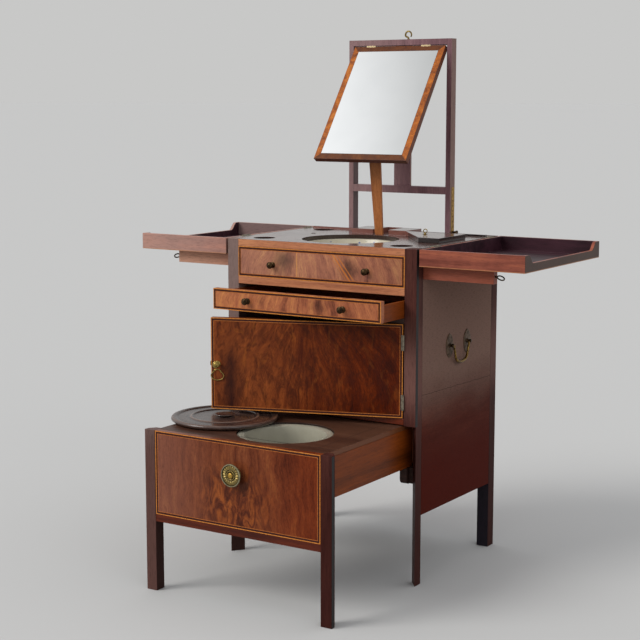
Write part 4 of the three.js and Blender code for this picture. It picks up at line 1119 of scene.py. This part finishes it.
def till_fittings():
    """Ring pull on the proud lid and a small flush lift on the flush one."""
    low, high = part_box("right_till_lid")
    pull_x, pull_back = 0.166, 88 * MM
    base = Vector((pull_x, low.y + pull_back, high.z))
    plate = [(0, 0), (6.5, 0), (6.6, 0.5), (5.6, 1.0), (3.0, 1.2), (2.4, 2.2), (2.2, 4.0), (1.2, 4.9),
             (0, 5.0)]
    turned("till_pull_eye", plate, Matrix.Translation(base), "right_till_lid_body", "brass", (), 24)
    ring = 5.4 * MM
    lean = math.radians(24)
    points = []
    for sine, cosine in circle(24):
        up = 3.4 * MM + ring + ring * sine
        points.append(base + Vector((ring * cosine, up * math.sin(lean) * 0.3, up * math.cos(lean))))
    bar("till_pull_ring", points, [1.1 * MM] * 24, "right_till_lid_body", "brass", (), True, 10)
    low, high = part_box("left_till_lid")
    lift = [(0, -0.2), (7.0, -0.2), (7.0, 0.25), (6.2, 0.5), (5.2, 0.3), (4.6, 0.15), (0, 0.15)]
    lift_x, lift_back = -0.17, 76 * MM
    turned("till_flush_lift", lift, Matrix.Translation((lift_x, low.y + lift_back, high.z)),
           "left_till_lid_body", "dark_brass", (), 32)


def screw(name, place, body):
    """Flush screw head."""
    head = [(0, -0.2), (1.7, -0.2), (1.7, 0.15), (1.3, 0.28), (0, 0.3)]
    turned(name, head, Matrix.Translation(place), body, "dark_brass", (), 16)


def hinge_leaves():
    """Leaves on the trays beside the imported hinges, with screws in both."""
    screws, first, step = 3, 0.18, 0.32
    for prefix, side in SIDES:
        for place in ENDS:
            low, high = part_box(f"{prefix}_tray_hinge_{place}")
            x0, x1 = sorted(side * (SIDE_X + out * MM) for out in (6.9, 14.0))
            name = f"{prefix}_tray_leaf_{place}"
            body = f"{prefix}_tray_body"
            slab(name, (x0, low.y, TOP_Z - 1.0 * MM), (x1, high.y, TOP_Z + 0.12 * MM), body,
                 "dull_brass", 0.1)
            for i in range(screws):
                y = low.y + (high.y - low.y) * (first + step * i)
                screw(f"{name}_screw_{i}", (side * (SIDE_X + 10.8 * MM), y, TOP_Z + 0.1 * MM), body)
                screw(f"{prefix}_case_leaf_{place}_screw_{i}",
                      (side * (SIDE_X - 7.0 * MM), y, TOP_Z + 0.02 * MM), "case")


def glass_fittings():
    """Closing lip and two small brass butts at the top of the looking glass."""
    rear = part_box("mirror_frame")[1].y
    y, z = GLASS_AXIS.y, GLASS_AXIS.z
    slab("top_rail_lip", (-GLASS_HALF_WIDTH, y + 1.5 * MM, z + 0.3 * MM),
         (GLASS_HALF_WIDTH, rear - 1 * MM, z + 4.2 * MM), "rising_frame_body", "frame")
    half_leaf = 14 * MM
    leaf_places = (-0.088, 0.08)
    for i, middle in enumerate(leaf_places):
        x0, x1 = middle - half_leaf, middle + half_leaf
        slab(f"glass_hinge_leaf_{i}", (x0, y - 0.5 * MM, z - 2.8 * MM), (x1, y + 0.6 * MM, z - 0.2 * MM),
             "looking_glass_body", "pale_brass", 0.15, GLASS_TURN)
        points = [Vector((x, y - 0.4 * MM, z + 0.6 * MM)) for x in (x0, x1)]
        bar(f"glass_hinge_barrel_{i}", points, [1.2 * MM] * 2, "rising_frame_body", "pale_brass")


def edge_strips():
    """Black strips of painted shade on the corners of the posts and legs, and a pale edge beside each tray
    as a painted highlight on the rounded arris.
    """
    let_in = 0.5 * MM
    strip_bottom = 0.404
    clear = 62 * MM
    for prefix, side in SIDES:
        x0, x1 = sorted((side * (SIDE_X - let_in), side * (SIDE_X + LINE_PROUD)))
        # Painted shade: black strips at the front corners of the case
        slab(f"{prefix}_corner_shade_strip", (x0, FRONT_Y + 0.4 * MM, strip_bottom),
             (x1, FRONT_Y + 11.5 * MM, TOP_Z - 1.0 * MM), "case", "shade_and_joint_black")
    for prefix, side in SIDES:
        low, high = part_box(f"commode_leg_{prefix}")
        outer = high.x if side > 0 else low.x
        x0, x1 = sorted((outer - side * let_in, outer + side * LINE_PROUD))
        # Painted shade: black strips on the outer front edges of the commode legs
        slab(f"{prefix}_leg_edge_shade", (x0, low.y + let_in, 1 * MM),
             (x1, low.y + 10.5 * MM, high.z - 1 * MM), "night_stand_body", "shade_and_joint_black")
    for prefix, side in SIDES:
        x0, x1 = sorted(side * (SIDE_X - back * MM) for back in (2.4, 0.2))
        # Painted highlight: a pale strip on the rounded arris beside each tray
        slab(f"{prefix}_arris", (x0, FRONT_Y + clear, TOP_Z - LET_IN),
             (x1, CASE_HIGH.y - clear, TOP_Z + PROUD), "case", "arris")


def seat_seams():
    """Joints of the seat's clamped frame, as thin dark lines."""
    low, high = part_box("seat_board")
    z0, z1 = high.z - LET_IN, high.z + PROUD
    inset, half = 46 * MM, 0.5 * MM
    front = low.y + 40 * MM
    for i, x in enumerate((low.x + inset, high.x - inset)):
        slab(f"seat_seam_{i}", (x - half, front, z0), (x + half, high.y - 1 * MM, z1),
             "night_stand_body", "shade_and_joint_black")
    slab("seat_seam_front", (low.x + 1 * MM, front - half, z0), (high.x - 1 * MM, front + half, z1),
         "night_stand_body", "shade_and_joint_black")


def room():
    """Even light all round, a pale backdrop, and a broad soft box at the upper left for the gloss."""
    graph = Graph("room", True)
    bpy.context.scene.world = graph.owner
    lit = graph.node("ShaderNodeBackground", (), {0: (0.97, 0.98, 1.0, 1), 1: 0.72})
    box_side = Vector((-0.85, -0.2, 0.49)).normalized()
    toward = graph.node("ShaderNodeVectorMath", {"operation": "DOT_PRODUCT"}, {0: graph.place, 1: box_side})
    rays = graph.node("ShaderNodeLightPath").outputs
    glossy = graph.span(toward.outputs["Value"], 0.862, 0.905) * rays["Is Glossy Ray"]
    tone = graph.mix(glossy, "#c8c8c7", "#ffffff")
    shown = graph.node("ShaderNodeBackground", (), {0: tone})
    seen = graph.math("MAXIMUM", rays["Is Camera Ray"], rays["Is Glossy Ray"])
    mixed = graph.node("ShaderNodeMixShader", (), {0: seen, 1: lit.outputs[0], 2: shown.outputs[0]})
    graph.put(graph.out.inputs[0], mixed.outputs[0])


def lamps():
    """A soft key from the front left and a faint fill from the right."""
    wanted = [("key", (-0.5, -0.66, 0.56), 1.75, 30, (1.0, 0.98, 0.95)),
              ("fill", (0.8, -0.5, 0.35), 0.3, 40, (0.96, 0.98, 1.0))]
    for name, source, strength, width, colour in wanted:
        data = bpy.data.lights.new(name, "SUN")
        data.energy = strength
        data.angle = math.radians(width)
        data.color = colour
        lamp = bpy.data.objects.new(name, data)
        bpy.context.scene.collection.objects.link(lamp)
        lamp.rotation_euler = Vector(source).to_track_quat("Z", "Y").to_euler()


def stage():
    """Pale floor, dimmer for the light that it throws back up than to the eye."""
    reach = 400
    corners = [(-reach, -reach, 0), (reach, -reach, 0), (reach, reach, 0), (-reach, reach, 0)]
    floor = bpy.data.objects.new("floor", mesh_of("floor", corners, [(0, 1, 2, 3)]))
    bpy.context.scene.collection.objects.link(floor)
    graph = Graph("floor_paint")
    rays = graph.node("ShaderNodeLightPath").outputs
    seen = graph.math("MAXIMUM", rays["Is Camera Ray"], rays["Is Glossy Ray"])
    tone = graph.mix(seen, "#8f8b86", "#c4c4c3")
    floor.data.materials.append(graph.surface(tone, 0.9, Specular_IOR_Level=0.0))


def camera():
    picture_width = 640
    focal_pixels = 1511.4
    data = bpy.data.cameras.new("camera")
    data.sensor_width = 36.0
    data.lens = data.sensor_width * focal_pixels / picture_width
    data.clip_end = 1200
    shot = bpy.data.objects.new("camera", data)
    bpy.context.scene.collection.objects.link(shot)
    yaw, pitch = math.radians(32.704), math.radians(8.301)
    ahead = Vector((-math.sin(yaw) * math.cos(pitch), math.cos(yaw) * math.cos(pitch), -math.sin(pitch)))
    shot.location = (2.0347, -3.1902, 1.1957)
    shot.rotation_euler = ahead.to_track_quat("-Z", "Y").to_euler()
    bpy.context.scene.camera = shot


for build in (rack_hole_shade, fronts, front_knobs, rosette, door_ring, side_handles, crockery, top_hook,
              loper_pulls, till_fittings, hinge_leaves, glass_fittings, edge_strips, seat_seams, stage,
              room, lamps, camera):
    build()
bpy.context.scene.view_settings.view_transform = "Standard"
